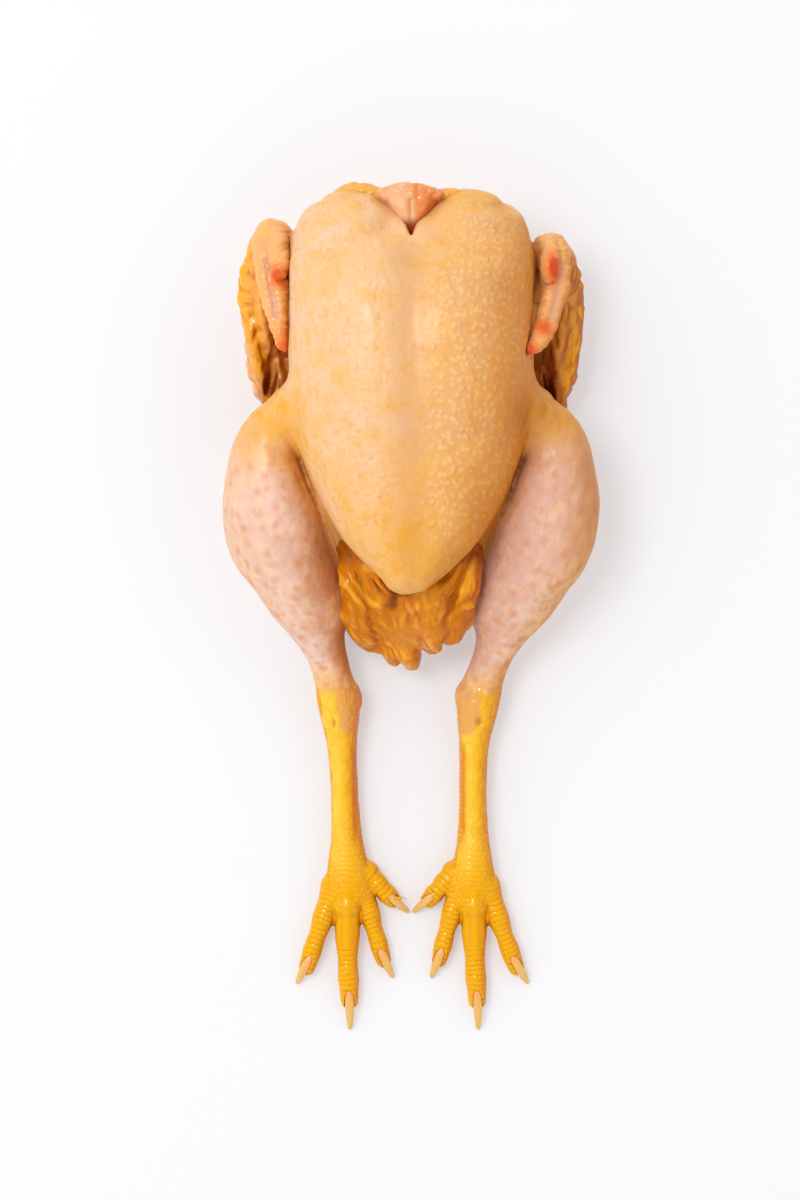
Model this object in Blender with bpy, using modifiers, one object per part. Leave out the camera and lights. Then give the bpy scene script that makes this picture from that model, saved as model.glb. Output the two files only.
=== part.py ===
"""Whole raw chicken with its feet on, lying on its back with the legs stretched out behind it.

+Y points to the neck end and +Z up. Left is -X and right is +X, as seen from above with the neck
pointing away. The origin is on the table, under the middle of the bird. Tables are in millimetres,
and each row of a limb is one section: (x, y, z, half width, half height).
"""

import math

import bmesh
import bpy
import numpy as np

MM = 0.001

# Driving dimensions, in millimetres.
VOXEL = 1.5  # grain at which the limbs are merged into one skin
SMOOTHING_PASSES = 5
CARCASS_TRIANGLES = 7000
CLAW_GAP = 0.3  # clearance of a claw in its cuff
BLUNT = 0.35  # depth of a blunt end, as a part of its smaller half size; 1 is a round one
MIDDLE = np.array([-0.1, -0.9, 0])  # middle of the bird in the tables, which goes on the origin

# The trunk: ribs, back and belly, from the neck to the pelvis.
TRUNK = [
    (0, 190, 45, 30, 32),
    (0, 180, 45, 44, 42),
    (0, 160, 45, 51, 46),
    (0, 130, 45, 54, 46),
    (0, 100, 44, 54, 45),
    (0, 70, 42, 52, 43),
    (0, 40, 36, 45, 37),
    (0, 14, 29, 36, 30),
    (0, -3, 23, 28, 23),
]

# One half of the breast, from its blunt neck end to the tip of the keel.
BREAST = [
    (29, 197, 69, 14, 16),
    (28.6, 192.5, 67.5, 21, 26),
    (28.4, 186, 64.5, 27.2, 34),
    (26.6, 175, 61, 32.6, 42.5),
    (22.4, 157, 58.5, 37, 50),
    (18, 136, 57, 41.4, 54),
    (16, 114, 57, 42, 54),
    (14.6, 80, 60, 38.8, 47.5),
    (12, 55, 66, 30, 37.4),
    (8.8, 35, 72, 22, 27.4),
    (5.6, 20, 76, 14.6, 18.6),
    (3, 12.5, 78, 8.4, 11),
]

# The flesh over the keel bone, which fills the valley between the halves below the notch.
KEEL = [
    (0, 181, 56, 16, 32),
    (0, 170, 56, 26, 42),
    (0, 150, 57, 30, 47.6),
    (0, 125, 57, 30, 50.4),
    (0, 95, 58, 28, 49.4),
    (0, 70, 62, 24, 43.6),
    (0, 45, 69, 18, 32.4),
    (0, 25, 74, 12, 21.8),
    (0, 14, 77, 7, 12.6),
]

# One leg on the +X side, from the flank over drumstick, hock and shank to the ball of the foot.
LEG = [
    (60.4, 97, 52, 9, 12),
    (65.4, 88, 50, 15, 17),
    (68.7, 78, 47, 17.8, 22),
    (69, 64, 44, 21.6, 26),
    (67.2, 50, 41, 24.8, 28.6),
    (63.3, 35, 38, 25.5, 28.6),
    (57.1, 21, 34, 22, 26),
    (51.9, 6, 29, 17.8, 20.5),
    (45.7, -8.5, 23, 12.9, 15),
    (40.7, -22, 18, 9.6, 11),
    (37.2, -33, 15, 9.6, 10.5),
    (34.9, -42, 13.5, 10.4, 10.5),
    (33.6, -51, 12, 9.9, 9.5),
    (32.4, -63, 10.5, 8.3, 8.2),
    (31.7, -83, 9.5, 7.2, 7.4),
    (31.6, -98, 8.8, 7.1, 7.2),
    (31.4, -113, 8.4, 8, 7.2),
    (31.2, -123, 8.2, 9.7, 7.4),
    (31, -133, 7.8, 11.6, 7.6),
    (31.2, -142, 7, 12.4, 7.2),
]
HEEL = (29.6, -42.5, 12.5)  # the knob of the hock, on the inner side
HEEL_RADII = (6.4, 8.5, 8)
BALL_OF_FOOT = (32.2, -146, 5)
BALL_RADII = (14, 11.5, 5.4)
# How far both legs lie towards +X, and how far along they do so: (shift, centre, reach).
LEG_DRIFT = [(-1.4, -64, 46), (1.6, -205, 24)]

# The thigh under the drumstick, from the knee back to the hip.
THIGH = [
    (70, 74, 34, 15, 20),
    (68, 58, 31, 19, 24),
    (60, 36, 27, 22, 26),
    (48, 14, 25, 22, 24.6),
    (38, 2, 23, 17, 20),
]

# The loose skin that runs from the side of the breast to the knee.
FLANK = [
    (44, 112, 58, 8, 16),
    (52, 104, 57, 9, 17),
    (60, 94, 55, 10, 16),
    (66, 83, 51, 10, 14),
]

# The folded wing on the +X side.
UPPER_ARM = [
    (48, 170, 44, 12, 14),
    (57, 152, 35, 13, 14),
    (63, 130, 23, 12, 13),
    (66.4, 113, 17, 10, 12),
]
FOREARM = [
    (67.6, 109, 17, 8.6, 11),
    (70.4, 122, 20, 10.2, 12.4),
    (71.9, 140, 26, 10.6, 13),
    (72.8, 160, 33, 10.8, 12.4),
    (70.2, 180, 42, 9, 9.8),
]
HAND = [
    (68.6, 182, 46, 8.4, 7.4),
    (66.6, 170, 54, 8.6, 6.2),
    (64.5, 156, 58, 7.8, 5.4),
    (62, 141, 60, 6, 4.8),
    (59.8, 128, 61, 3.6, 3.4),
]
THUMB = [
    (66.5, 180, 55, 4.4, 4.2),
    (65.2, 173, 60, 4.2, 4),
    (63.2, 164, 63.5, 3.6, 3.4),
]
WING_SHIFT = {1: (0.4, -4.6, 0), -1: (0, 0.6, 0)}  # the +X wing lies nearer to the tail

# The cut neck: two strips of flesh in the notch of the breast, and fat at their sides.
NECK_ROOT = [(0, 178, 56, 20, 22), (0, 190, 57, 21, 20), (0, 197, 60, 20, 17)]
NECK_STRIP = [(4.6, 181, 70, 2.6, 7), (5, 188, 74, 4.6, 8), (5.8, 195, 74, 6.2, 9), (6.4, 199.5, 70, 6, 7)]
NECK_FAT = [(14, 194, 66, 7, 9), (22, 197.5, 67, 6.4, 7.6), (32, 199.4, 64, 4.8, 6.4)]

# The open vent: a lobe of fat and a flap of belly skin at each side, and the tail between them.
BELLY = [(0, 40, 52, 30, 34), (0, 22, 45, 27, 33), (0, 9, 38, 23, 27)]
VENT_LOBE = [(26, 26, 38, 13, 20), (26, 8, 31, 14, 19), (21.6, -8.5, 23, 10.4, 13)]
BELLY_FLAP = [(25, 33, 62, 9, 8), (17.5, 16, 56, 11, 7), (13, 0, 46, 10, 6), (13.4, -15.5, 33, 6.4, 5)]
TAIL = [(-2, 4, 22, 15, 18), (-3, -8, 20, 13, 15), (-4, -18, 17, 10, 11), (-4.2, -23, 15, 8.2, 8.5)]
VENT_HOLLOW = (-3, 1, 56)
VENT_HOLLOW_RADII = (5, 9, 15)

# Toes on the +X foot: (base, end of the flesh, end of the claw, radius at the base, radius at the end).
TOES = {
    "middle": ((31.4, -140, 6.8), (31.8, -195, 4.4), (32, -207.2, 1.8), 8.2, 4.9),
    "outer": ((38, -136, 6.4), (53, -179, 4.4), (57.2, -184.4, 1.8), 7, 4.4),
    "inner": ((24.6, -135, 6.4), (13.2, -175.4, 4.2), (9.9, -181.5, 1.8), 6.6, 4.2),
    "hind": ((21.4, -129.6, 6.4), (7.4, -144.4, 4.6), (1.8, -149, 2), 6, 4.5),
}
TOE_SECTIONS = 9
KNUCKLE = 0.3  # how far the pads of a toe swell
KNUCKLES = 2.5
CLAW_ROOT = 3.5  # how deep a claw sits in its cuff
CLAW_RADII = (2.4, 0.5)
CLAW_SECTIONS = 5

SKIN_COLOUR = (0.87, 0.60, 0.33, 1)
CLAW_COLOUR = (0.83, 0.62, 0.36, 1)
DOME_TURNS = np.radians([25, 50, 75])
SIDES = (1, -1)
SIDE_NAME = {1: "right", -1: "left"}


def clear_scene():
    for obj in list(bpy.data.objects):
        bpy.data.objects.remove(obj, do_unlink=True)


def collection(name):
    made = bpy.data.collections.new(name)
    bpy.context.scene.collection.children.link(made)
    return made


def material(name, colour, roughness):
    made = bpy.data.materials.new(name)
    made.use_nodes = True
    shader = made.node_tree.nodes["Principled BSDF"]
    shader.inputs["Base Color"].default_value = colour
    shader.inputs["Roughness"].default_value = roughness
    shader.inputs["Metallic"].default_value = 0.0
    return made


def smooth_sections(sections, spacing):
    """The sections of a limb, read every `spacing` millimetres along a smooth curve through them."""
    knots = np.array(sections, float)
    gaps = np.linalg.norm(np.diff(knots[:, :3], axis=0), axis=1)
    along = np.concatenate([[0], np.cumsum(gaps)])
    slopes = np.gradient(knots, along, axis=0)
    at = np.linspace(0, along[-1], max(3, round(along[-1] / spacing) + 1))
    i = np.clip(np.searchsorted(along, at, side="right") - 1, 0, len(gaps) - 1)
    gap = gaps[i][:, None]
    t = (at - along[i])[:, None] / gap
    start = (2 * t**3 - 3 * t**2 + 1) * knots[i] + (t**3 - 2 * t**2 + t) * gap * slopes[i]
    end = (3 * t**2 - 2 * t**3) * knots[i + 1] + (t**3 - t**2) * gap * slopes[i + 1]
    return start + end


def end_dome(section, ahead, depth):
    """A few shrinking sections beyond the last one, outermost last, that round off the end of a limb."""
    reach = min(section[3:5]) * depth
    return [
        np.concatenate([section[:3] + ahead * reach * math.sin(turn), section[3:5] * math.cos(turn)])
        for turn in DOME_TURNS
    ]


def add_limb(mesh, sections, sides=20, spacing=4, depth=1.0):
    """Lofts a closed limb through its sections, with domed ends, into the bmesh."""
    path = smooth_sections(sections, spacing)
    ahead = np.gradient(path[:, :3], axis=0)
    ahead /= np.linalg.norm(ahead, axis=1)[:, None]
    first = end_dome(path[0], -ahead[0], depth)[::-1]
    last = end_dome(path[-1], ahead[-1], depth)
    path = np.vstack([first, path, last])
    ahead = np.vstack([ahead[:1]] * len(first) + [ahead] + [ahead[-1:]] * len(last))
    across = np.cross((0, 0, 1), ahead)
    across /= np.linalg.norm(across, axis=1)[:, None]
    up = np.cross(ahead, across)
    turns = np.arange(sides) * 2 * math.pi / sides
    rings = []
    for row, side, top in zip(path, across, up):
        ring = row[:3] + np.outer(np.cos(turns) * row[3], side) + np.outer(np.sin(turns) * row[4], top)
        rings.append([mesh.verts.new(point * MM) for point in ring - MIDDLE])
    faces = [mesh.faces.new(rings[0]), mesh.faces.new(rings[-1][::-1])]
    for first, second in zip(rings, rings[1:]):
        for i in range(sides):
            j = (i + 1) % sides
            faces.append(mesh.faces.new((first[i], second[i], second[j], first[j])))
    bmesh.ops.recalc_face_normals(mesh, faces=faces)


def add_ball(mesh, centre, radii):
    """A closed ellipsoid: a knob, a pad or a lump of fat."""
    ball = bmesh.ops.create_uvsphere(mesh, u_segments=20, v_segments=12, radius=1.0)
    for vertex in ball["verts"]:
        vertex.co = (np.array(vertex.co) * radii + centre - MIDDLE) * MM


def mirrored(sections, side, shift=(0, 0, 0)):
    """The sections of a +X limb on the given side, moved by the shift."""
    dx, dy, dz = shift
    return [(side * (x + dx), y + dy, z + dz, *sizes) for x, y, z, *sizes in sections]


def drift(y):
    """How far a leg lies towards +X at this place along the bird."""
    return sum(shift * math.exp(-(((y - centre) / reach) ** 2)) for shift, centre, reach in LEG_DRIFT)


def drifted(sections):
    """The sections of a leg or a toe, moved sideways as both legs lie."""
    return [(x + drift(y), y, *rest) for x, y, *rest in sections]


def toe_sections(base, end, thick, thin):
    """A toe from its base to the end of its flesh: it tapers, arches and swells at its pads."""
    rows = []
    for step in range(TOE_SECTIONS):
        t = step / (TOE_SECTIONS - 1)
        radius = thin + (thick - thin) * (1 - t) ** 2 + KNUCKLE * math.cos(2 * math.pi * KNUCKLES * t)
        centre = [a + (b - a) * t for a, b in zip(base, end)]
        centre[2] += 0.8 * math.sin(math.pi * t)
        rows.append((*centre, radius, radius))
    return rows


def claw_sections(base, end, tip, extra=0.0):
    """A claw from inside its cuff to its point, curving down to the table."""
    start = np.array(end) + (np.array(base) - np.array(end)) / math.dist(base, end) * CLAW_ROOT
    rows = []
    for step in range(CLAW_SECTIONS):
        t = step / (CLAW_SECTIONS - 1)
        centre = start + (np.array(tip) - start) * t
        centre[2] += 1.2 * math.sin(math.pi * t)
        radius = CLAW_RADII[0] + (CLAW_RADII[1] - CLAW_RADII[0]) * t**1.4 + extra
        rows.append((*centre, radius, radius * 1.1))
    return rows


def add_leg(mesh, side):
    add_limb(mesh, drifted(mirrored(LEG, side)), sides=24)
    add_limb(mesh, mirrored(THIGH, side), depth=0.6)
    add_limb(mesh, mirrored(FLANK, side))
    add_ball(mesh, drifted(mirrored([HEEL], side))[0], HEEL_RADII)


def add_foot(mesh, side):
    for base, end, _, thick, thin in TOES.values():
        rows = drifted(mirrored(toe_sections(base, end, thick, thin), side))
        add_limb(mesh, rows, sides=16, spacing=3)
    add_ball(mesh, drifted(mirrored([BALL_OF_FOOT], side))[0], BALL_RADII)


def add_wing(mesh, side):
    shift = WING_SHIFT[side]
    for sections in (UPPER_ARM, FOREARM, HAND, THUMB):
        add_limb(mesh, mirrored(sections, side, shift), sides=16, spacing=3)


def build_carcass(home, skin):
    """Everything of flesh and skin, lofted limb by limb and merged into one closed solid."""
    shape = bmesh.new()
    for sections in (TRUNK, KEEL, BELLY, NECK_ROOT, TAIL):
        add_limb(shape, sections, sides=32, depth=BLUNT)
    for side in SIDES:
        add_limb(shape, mirrored(BREAST, side), sides=32, depth=BLUNT)
        add_leg(shape, side)
        add_foot(shape, side)
        add_wing(shape, side)
        for sections in (NECK_STRIP, NECK_FAT, VENT_LOBE, BELLY_FLAP):
            add_limb(shape, mirrored(sections, side), sides=16, spacing=3)
    mesh = bpy.data.meshes.new("carcass")
    shape.to_mesh(mesh)
    shape.free()
    carcass = bpy.data.objects.new("carcass", mesh)
    home.objects.link(carcass)
    mesh.materials.append(skin)
    merge = carcass.modifiers.new("merge", "REMESH")
    merge.mode = "VOXEL"
    merge.voxel_size = VOXEL * MM
    relax = carcass.modifiers.new("relax", "SMOOTH")
    relax.factor = 0.5
    relax.iterations = SMOOTHING_PASSES
    return carcass


def settle(carcass):
    """Replaces the carcass's mesh by its evaluated one, with the modifiers gone."""
    graph = bpy.context.evaluated_depsgraph_get()
    mesh = bpy.data.meshes.new_from_object(carcass.evaluated_get(graph))
    carcass.modifiers.clear()
    carcass.data = mesh
    return mesh


def thin_out(carcass):
    """Fewer, larger triangles, most of them left where the surface curves."""
    mesh = settle(carcass)
    triangles = sum(len(face.vertices) - 2 for face in mesh.polygons)
    fewer = carcass.modifiers.new("fewer", "DECIMATE")
    fewer.ratio = CARCASS_TRIANGLES / triangles
    settle(carcass)


def cutter(home, name, shape):
    mesh = bpy.data.meshes.new(name)
    shape.to_mesh(mesh)
    shape.free()
    made = bpy.data.objects.new(name, mesh)
    made.hide_render = True
    made.display_type = "WIRE"
    home.objects.link(made)
    return made


def cut(target, tool):
    boolean = target.modifiers.new(tool.name, "BOOLEAN")
    boolean.operation = "DIFFERENCE"
    boolean.object = tool


def flatten_on_table(carcass, home):
    """Cuts the carcass flat where its weight rests on the table."""
    shape = bmesh.new()
    bmesh.ops.create_cube(shape, size=1.0)
    bmesh.ops.scale(shape, vec=(0.4, 0.6, 0.05), verts=shape.verts)
    bmesh.ops.translate(shape, vec=(0, 0, -0.025), verts=shape.verts)
    cut(carcass, cutter(home, "table", shape))


def open_vent(carcass, home):
    """Sinks the hollow of the vent below the tip of the keel."""
    shape = bmesh.new()
    add_ball(shape, VENT_HOLLOW, VENT_HOLLOW_RADII)
    cut(carcass, cutter(home, "vent_hollow", shape))


def build_claws(carcass, home, cutters, horn):
    """Each claw is a horn sheath of its own, set in a cuff that is cut out of its toe."""
    for side in SIDES:
        for toe, (base, end, tip, _, _) in TOES.items():
            name = f"claw_{SIDE_NAME[side]}_{toe}"
            for extra in (0.0, CLAW_GAP):
                shape = bmesh.new()
                rows = drifted(mirrored(claw_sections(base, end, tip, extra), side))
                add_limb(shape, rows, sides=8, spacing=6)
                if extra:
                    cut(carcass, cutter(cutters, name + "_cuff", shape))
                    continue
                mesh = bpy.data.meshes.new(name)
                shape.to_mesh(mesh)
                shape.free()
                mesh.materials.append(horn)
                mesh.shade_smooth()
                home.objects.link(bpy.data.objects.new(name, mesh))


def main():
    clear_scene()
    bird = collection("whole_raw_chicken")
    cutters = collection("cutters")
    cutters.hide_render = True
    carcass = build_carcass(bird, material("skin", SKIN_COLOUR, 0.5))
    thin_out(carcass)
    flatten_on_table(carcass, cutters)
    open_vent(carcass, cutters)
    build_claws(carcass, bird, cutters, material("horn", CLAW_COLOUR, 0.4))


main()
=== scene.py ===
"""Whole raw chicken on its back: skin, wings, scaly feet, claws, cut neck and open vent."""

import itertools
import math

import bpy
import numpy as np
import openvdb
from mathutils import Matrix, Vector, kdtree, noise


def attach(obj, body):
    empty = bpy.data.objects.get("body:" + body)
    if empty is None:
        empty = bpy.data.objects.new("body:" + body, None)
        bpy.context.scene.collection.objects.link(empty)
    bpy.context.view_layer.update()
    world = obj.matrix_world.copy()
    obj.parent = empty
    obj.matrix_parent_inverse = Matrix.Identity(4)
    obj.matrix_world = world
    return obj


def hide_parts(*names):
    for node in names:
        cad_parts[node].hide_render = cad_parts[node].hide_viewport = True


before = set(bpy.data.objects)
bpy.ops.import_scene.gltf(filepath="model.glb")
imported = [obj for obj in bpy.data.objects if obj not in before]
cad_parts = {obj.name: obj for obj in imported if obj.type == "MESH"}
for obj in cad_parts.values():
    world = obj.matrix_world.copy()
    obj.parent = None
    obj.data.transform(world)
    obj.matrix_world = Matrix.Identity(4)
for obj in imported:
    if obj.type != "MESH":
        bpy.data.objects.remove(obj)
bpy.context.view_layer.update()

bl_info = {
    "name": "Whole Raw Chicken",
    "version": (1, 0, 0),
    "blender": (4, 5, 0),
    "location": "3D View > Sidebar > Chicken",
    "description": "Models a plucked raw chicken with wings, feet and claws, lying on its back",
    "category": "Add Mesh",
}

MM = 0.001
SIDES = {"right": 1, "left": -1}

# Tables in millimetres. Each section of a limb is (x, y, z, half width, half height).
# The tables hold the +X side. Left and right are as seen from above, with the neck pointing away.
MIDDLE = np.array([-0.1, -0.9, 0.0])  # middle of the bird in the tables, which goes on the origin
BLUNT = 0.35  # depth of a blunt end; 1 is a round one
DOME = np.radians([20, 40, 60, 75, 88])  # angles of the rings that close the end of a limb

# The body.
TRUNK = [
    (0, 190, 45, 30, 32), (0, 180, 45, 44, 42), (0, 160, 45, 51, 46), (0, 130, 45, 54, 46),
    (0, 100, 44, 54, 45), (0, 70, 42, 52, 43), (0, 40, 33, 45, 33), (0, 14, 23, 35, 23),
    (0, -3, 16, 26, 16),
]
BREAST = [
    (29, 197, 69, 14, 16), (28.6, 192.5, 67.5, 21, 26), (28.4, 186, 64.5, 27.2, 34),
    (26.6, 175, 61, 32.6, 42.5), (22.4, 157, 58.5, 37, 50), (18, 136, 57, 41.4, 54),
    (16, 114, 57, 42, 54), (14.6, 80, 60, 38.8, 47.5), (12, 55, 66, 30, 37.4), (8.4, 35, 72, 20.4, 27.4),
    (4.6, 22, 76, 11.6, 18.2), (1.4, 14.6, 78, 6.8, 11),
]
KEEL = [
    (0, 170, 56, 14, 36), (0, 160, 56, 26, 45), (0, 148, 57, 30, 47.6), (0, 125, 57, 30, 50.4),
    (0, 95, 58, 28, 49.4), (0, 70, 62, 24, 43.6), (-0.6, 45, 69, 18, 32.4), (-2.8, 25, 74, 11, 21.8),
    (-5, 13.4, 77, 6, 12),
]
NECK_NOTCH = [
    (-0.2, 178, 86, 0.6, 30), (-0.2, 183, 86, 1.7, 32), (-0.2, 187, 85, 3.2, 34), (-0.2, 192, 84, 6, 36),
    (-0.2, 197, 83, 9.6, 38), (-0.2, 202, 82, 14.4, 40), (-0.2, 212, 80, 24, 44),
]

# The legs and the feet.
LEG = [
    (60.4, 97, 52, 9, 12), (65.4, 88, 50, 15, 17), (68.7, 78, 47, 17.8, 22), (69, 64, 44, 21.6, 26),
    (67.2, 50, 41, 24.8, 28.6), (63.3, 35, 38, 25.5, 28.6), (57.1, 21, 34, 22, 26),
    (51.9, 6, 29, 17.8, 20.5), (45.7, -8.5, 23, 12.9, 15), (40.7, -22, 18, 9.8, 11),
    (37.4, -33, 15, 9.6, 10.4), (35, -42, 13.5, 9.9, 10), (34, -50, 12, 7.4, 7.4),
]
SHANK = [
    (38.4, -30, 15.6, 8, 8.8), (36.8, -36, 14.4, 9.6, 10.2), (34.9, -42, 13.5, 10.4, 10.6),
    (33.8, -51, 12, 9.7, 9.6), (33, -63, 10.5, 7.6, 8.2), (32.5, -83, 9.5, 6.3, 7.4),
    (32.3, -98, 8.8, 6.3, 7.2), (31.8, -113, 8.4, 7.5, 7.3), (31.2, -123, 8.2, 9.5, 7.5),
    (31, -133, 7.8, 11.2, 7.6), (31.2, -142, 7, 11.6, 7.2),
]
HEEL, HEEL_RADII = (29.6, -42.5, 12.5), (6.4, 8.5, 8)
TENDON = [
    (29, -50, 8, 3.6, 5), (28.2, -64, 7.6, 2.6, 4.6), (27.3, -84, 7, 2, 4.4), (26.6, -104, 6.6, 2.2, 4.2),
    (25.4, -120, 6, 3, 4), (23, -130, 5.6, 3.4, 3.8),
]
BALL_OF_FOOT, BALL_RADII = (32.2, -146, 5), (13, 11, 5.4)
KNUCKLE, KNUCKLE_RADII = (31.4, -145.6, 8.2), (7.6, 7.2, 7.6)
# dimples at the hock: (x, y, half width, half length)
DIMPLES = {"left": (-38.1, -55, 1.0, 3), "right": (33.8, -54, 2.3, 3.4)}
LEG_DRIFT = [(-1.4, -64, 46), (1.6, -205, 24)]  # both legs lie towards +X: (shift, centre, reach)
THIGH = [
    (70, 74, 34, 15, 20), (68, 58, 31, 19, 24), (60, 36, 27, 22, 26), (48, 14, 25, 22, 24.6),
    (38, 2, 23, 17, 20),
]

# The wings, and the stretched skin in front of them.
FLANK = [(44, 112, 58, 8, 16), (52, 104, 57, 9, 17), (60, 94, 55, 10, 16), (66, 83, 51, 10, 14)]
UPPER_ARM = [
    (49, 171, 42, 15, 14), (56, 152, 33, 13, 13), (63, 130, 17, 9.6, 10), (67, 112, 13, 9, 10.6),
]
FOREARM = [
    (67.6, 109, 17, 8.6, 10.4), (71.2, 122, 20, 9.6, 10.6), (72.6, 140, 26, 9.8, 9.8),
    (73.4, 160, 33, 9.8, 8.8), (71, 176, 42, 8.6, 8.4),
]
WING_SHIFT = {"right": (0.4, -4.6, 0), "left": (0, 0.6, 0)}
HAND = {
    "left": [
        (-66.6, 183, 45, 9.2, 8), (-67.4, 176, 51, 9.4, 7), (-67.2, 168.7, 55, 8.6, 6.4),
        (-66.3, 156.8, 58, 7.5, 5.6), (-64.4, 143.5, 60, 5.5, 4.8), (-63.1, 135.5, 61, 4.1, 3.9),
        (-61.6, 128.1, 61.5, 2.6, 2.6), (-60.8, 126, 61.5, 1.4, 1.5),
    ],
    "right": [
        (67, 176.5, 46, 8.6, 8), (68.4, 170, 52, 8.4, 7), (69.2, 163.5, 56, 7.6, 6.2),
        (68.9, 155.9, 58, 7, 5.6), (66.3, 144.6, 62, 5.6, 4.8), (63.2, 134.6, 67.5, 5.2, 4.2),
        (59.4, 128, 73.5, 4, 3.4), (55.8, 124.4, 77, 2.2, 2.2),
    ],
}
THUMB = {
    "left": [
        (-64.4, 180, 52, 5.4, 5.4), (-63.6, 172.5, 61, 5.2, 5), (-62.9, 166.4, 65.2, 4.8, 4.6),
        (-62.8, 163, 64.6, 4.1, 4),
    ],
    "right": [
        (66.6, 177, 52, 5, 5), (66.6, 170, 61, 4.6, 4.8), (66.3, 165, 65.6, 4.4, 4.4),
        (65.9, 161.6, 65, 3.9, 3.9),
    ],
}
HAND_GROOVE = {
    "left": [(-69.4, 170, 61), (-68, 160, 63), (-66.4, 151, 64), (-64.8, 142, 65)],
    "right": [(72, 167, 60), (71, 158, 62.5), (69, 148, 65.6), (65.6, 138, 69.6)],
}
# rolls of yellow fat along the forearm
WING_RIDGES = {
    "left": [
        [
            (-77, 176, 41, 3, 3), (-81, 162.5, 34, 3.4, 3.6), (-78.9, 141, 32, 3.6, 4),
            (-74.6, 122, 29, 3.4, 4), (-71, 110, 24, 3, 3.4),
        ],
        [
            (-74, 160, 41, 2.2, 2.4), (-72.6, 148, 38, 2.4, 2.8), (-70, 136, 34, 2.6, 3),
            (-68.4, 128, 30, 2.2, 2.6),
        ],
    ],
    "right": [
        [
            (77, 170, 41, 3, 3), (81, 158, 34, 3.2, 3.6), (81, 138, 31, 3.4, 3.8),
            (78, 118, 27, 3.4, 3.8), (73, 104, 21, 3, 3.4),
        ],
        [
            (75, 150, 40, 2.4, 2.8), (74, 138, 36, 2.8, 3.2), (72, 124, 31, 3, 3.4),
            (70.6, 113, 26, 2.6, 3),
        ],
    ],
}
ELBOW_PIT = {
    "left": [
        (-64.6, 132, 42, 3, 9), (-66.6, 123, 38, 4.4, 10), (-68.6, 114, 33, 4.2, 10),
        (-70.4, 106, 28, 3, 9),
    ],
    "right": [
        (63.6, 129, 42, 2.6, 9), (65.6, 120, 38, 3.6, 10), (67.6, 111, 33, 3.4, 10),
        (69, 104, 28, 2.4, 9),
    ],
}
PIT_SHADE = {"left": 0.55, "right": 1.0}  # how dark the pit beside the elbow is
SPOT_DEPTH = 8
# red tips of thumb and hand: (x, y, z, half width, half length, strength)
RED_SPOTS = {
    "left": [(-64, 160.8, 67, 3.2, 4, 0.75), (-61, 127.6, 63, 2.6, 5, 0.4)],
    "right": [
        (68, 165, 69, 2.8, 6.6, 0.9), (63.3, 136, 72, 3, 3.4, 0.5), (55.2, 124.4, 79, 3.6, 4.4, 0.8),
    ],
}

# Each toe: its base, the end of its flesh, the tip of its claw, and its radius at both ends.
TOES = {
    "middle": ((31.4, -140, 6.8), (31.8, -193.4, 4.6), (32, -207.2, 1.8), 7.8, 4.7),
    "outer": ((38, -136, 6.4), (52.2, -177, 4.4), (57.2, -184.4, 1.8), 6.5, 4.3),
    "inner": ((24.6, -135, 6.4), (13.8, -173.4, 4.2), (9.9, -181.5, 1.8), 6.1, 4.1),
    "hind": ((21.4, -129.6, 6.4), (9, -143.2, 4.6), (1.8, -149, 2), 5.8, 4.5),
}
# loose threads of skin beside two of the claws
WISPS = {
    "left": [
        (-9, -142.6, 9, 0.7, 0.7), (-5, -141.6, 9, 0.45, 0.4), (-1.4, -143, 7, 0.25, 0.25),
        (0.6, -145.4, 5, 0.15, 0.15),
    ],
    "right": [
        (50.6, -172.4, 8, 0.8, 0.8), (54.4, -174.6, 7.6, 0.5, 0.5), (57.2, -177.6, 6, 0.3, 0.3),
        (58.2, -181, 4.6, 0.15, 0.15),
    ],
}
SMOOTH_START = 26  # the start of the middle toe, which has no plates
CLAW_ROOT = 6.4  # how far a claw starts inside its toe
CLAW_RADII = (1.9, 2.2, 2.3, 2.25, 2.05, 1.7, 1.2)

# The cut neck.
NECK_ROOT = [(0, 176, 54, 22, 22), (0, 188, 56, 24, 20), (0, 195, 59, 22, 15)]
NECK_STRIP = [
    (1.2, 180, 69, 1.8, 8), (1.9, 185, 71, 3.0, 9), (3.0, 190, 73, 4.6, 9.6), (4.6, 195, 74, 6.6, 10),
    (5.4, 198, 74, 7.6, 10),
]
NECK_FAT = [
    [
        (-12, 197, 69, 4.6, 6), (-19, 199.4, 69, 4.4, 6.4), (-27, 200.4, 67.5, 5.2, 7),
        (-33, 199, 65, 4.6, 6),
    ],
    [(12, 197, 69, 4.6, 6), (18, 198.6, 69, 4, 6), (25, 197.6, 67, 3.6, 6)],
]
NECK_SHREDS = [
    [
        (-12.6, 197.6, 79, 2, 2.2), (-9.6, 198.8, 80, 2.1, 2.2), (-5, 200, 81, 2, 2),
        (-0.8, 199.4, 81, 1.6, 1.8),
    ],
    [
        (0.8, 199.4, 81, 1.6, 1.8), (5, 199.6, 81, 2, 2), (9.6, 199, 80, 2.1, 2.2),
        (12.6, 197.8, 79, 2, 2.2),
    ],
    [(-6, 197.6, 81.4, 1.3, 1.6), (-0.2, 197.4, 82.4, 1.3, 1.5), (5, 197.6, 81.4, 1.2, 1.6)],
    [(-13, 199.4, 75, 2.6, 4), (-5, 201.2, 78, 2.6, 4), (4, 201, 78, 2.6, 4), (12, 199, 75, 2.4, 4)],
]

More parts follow.
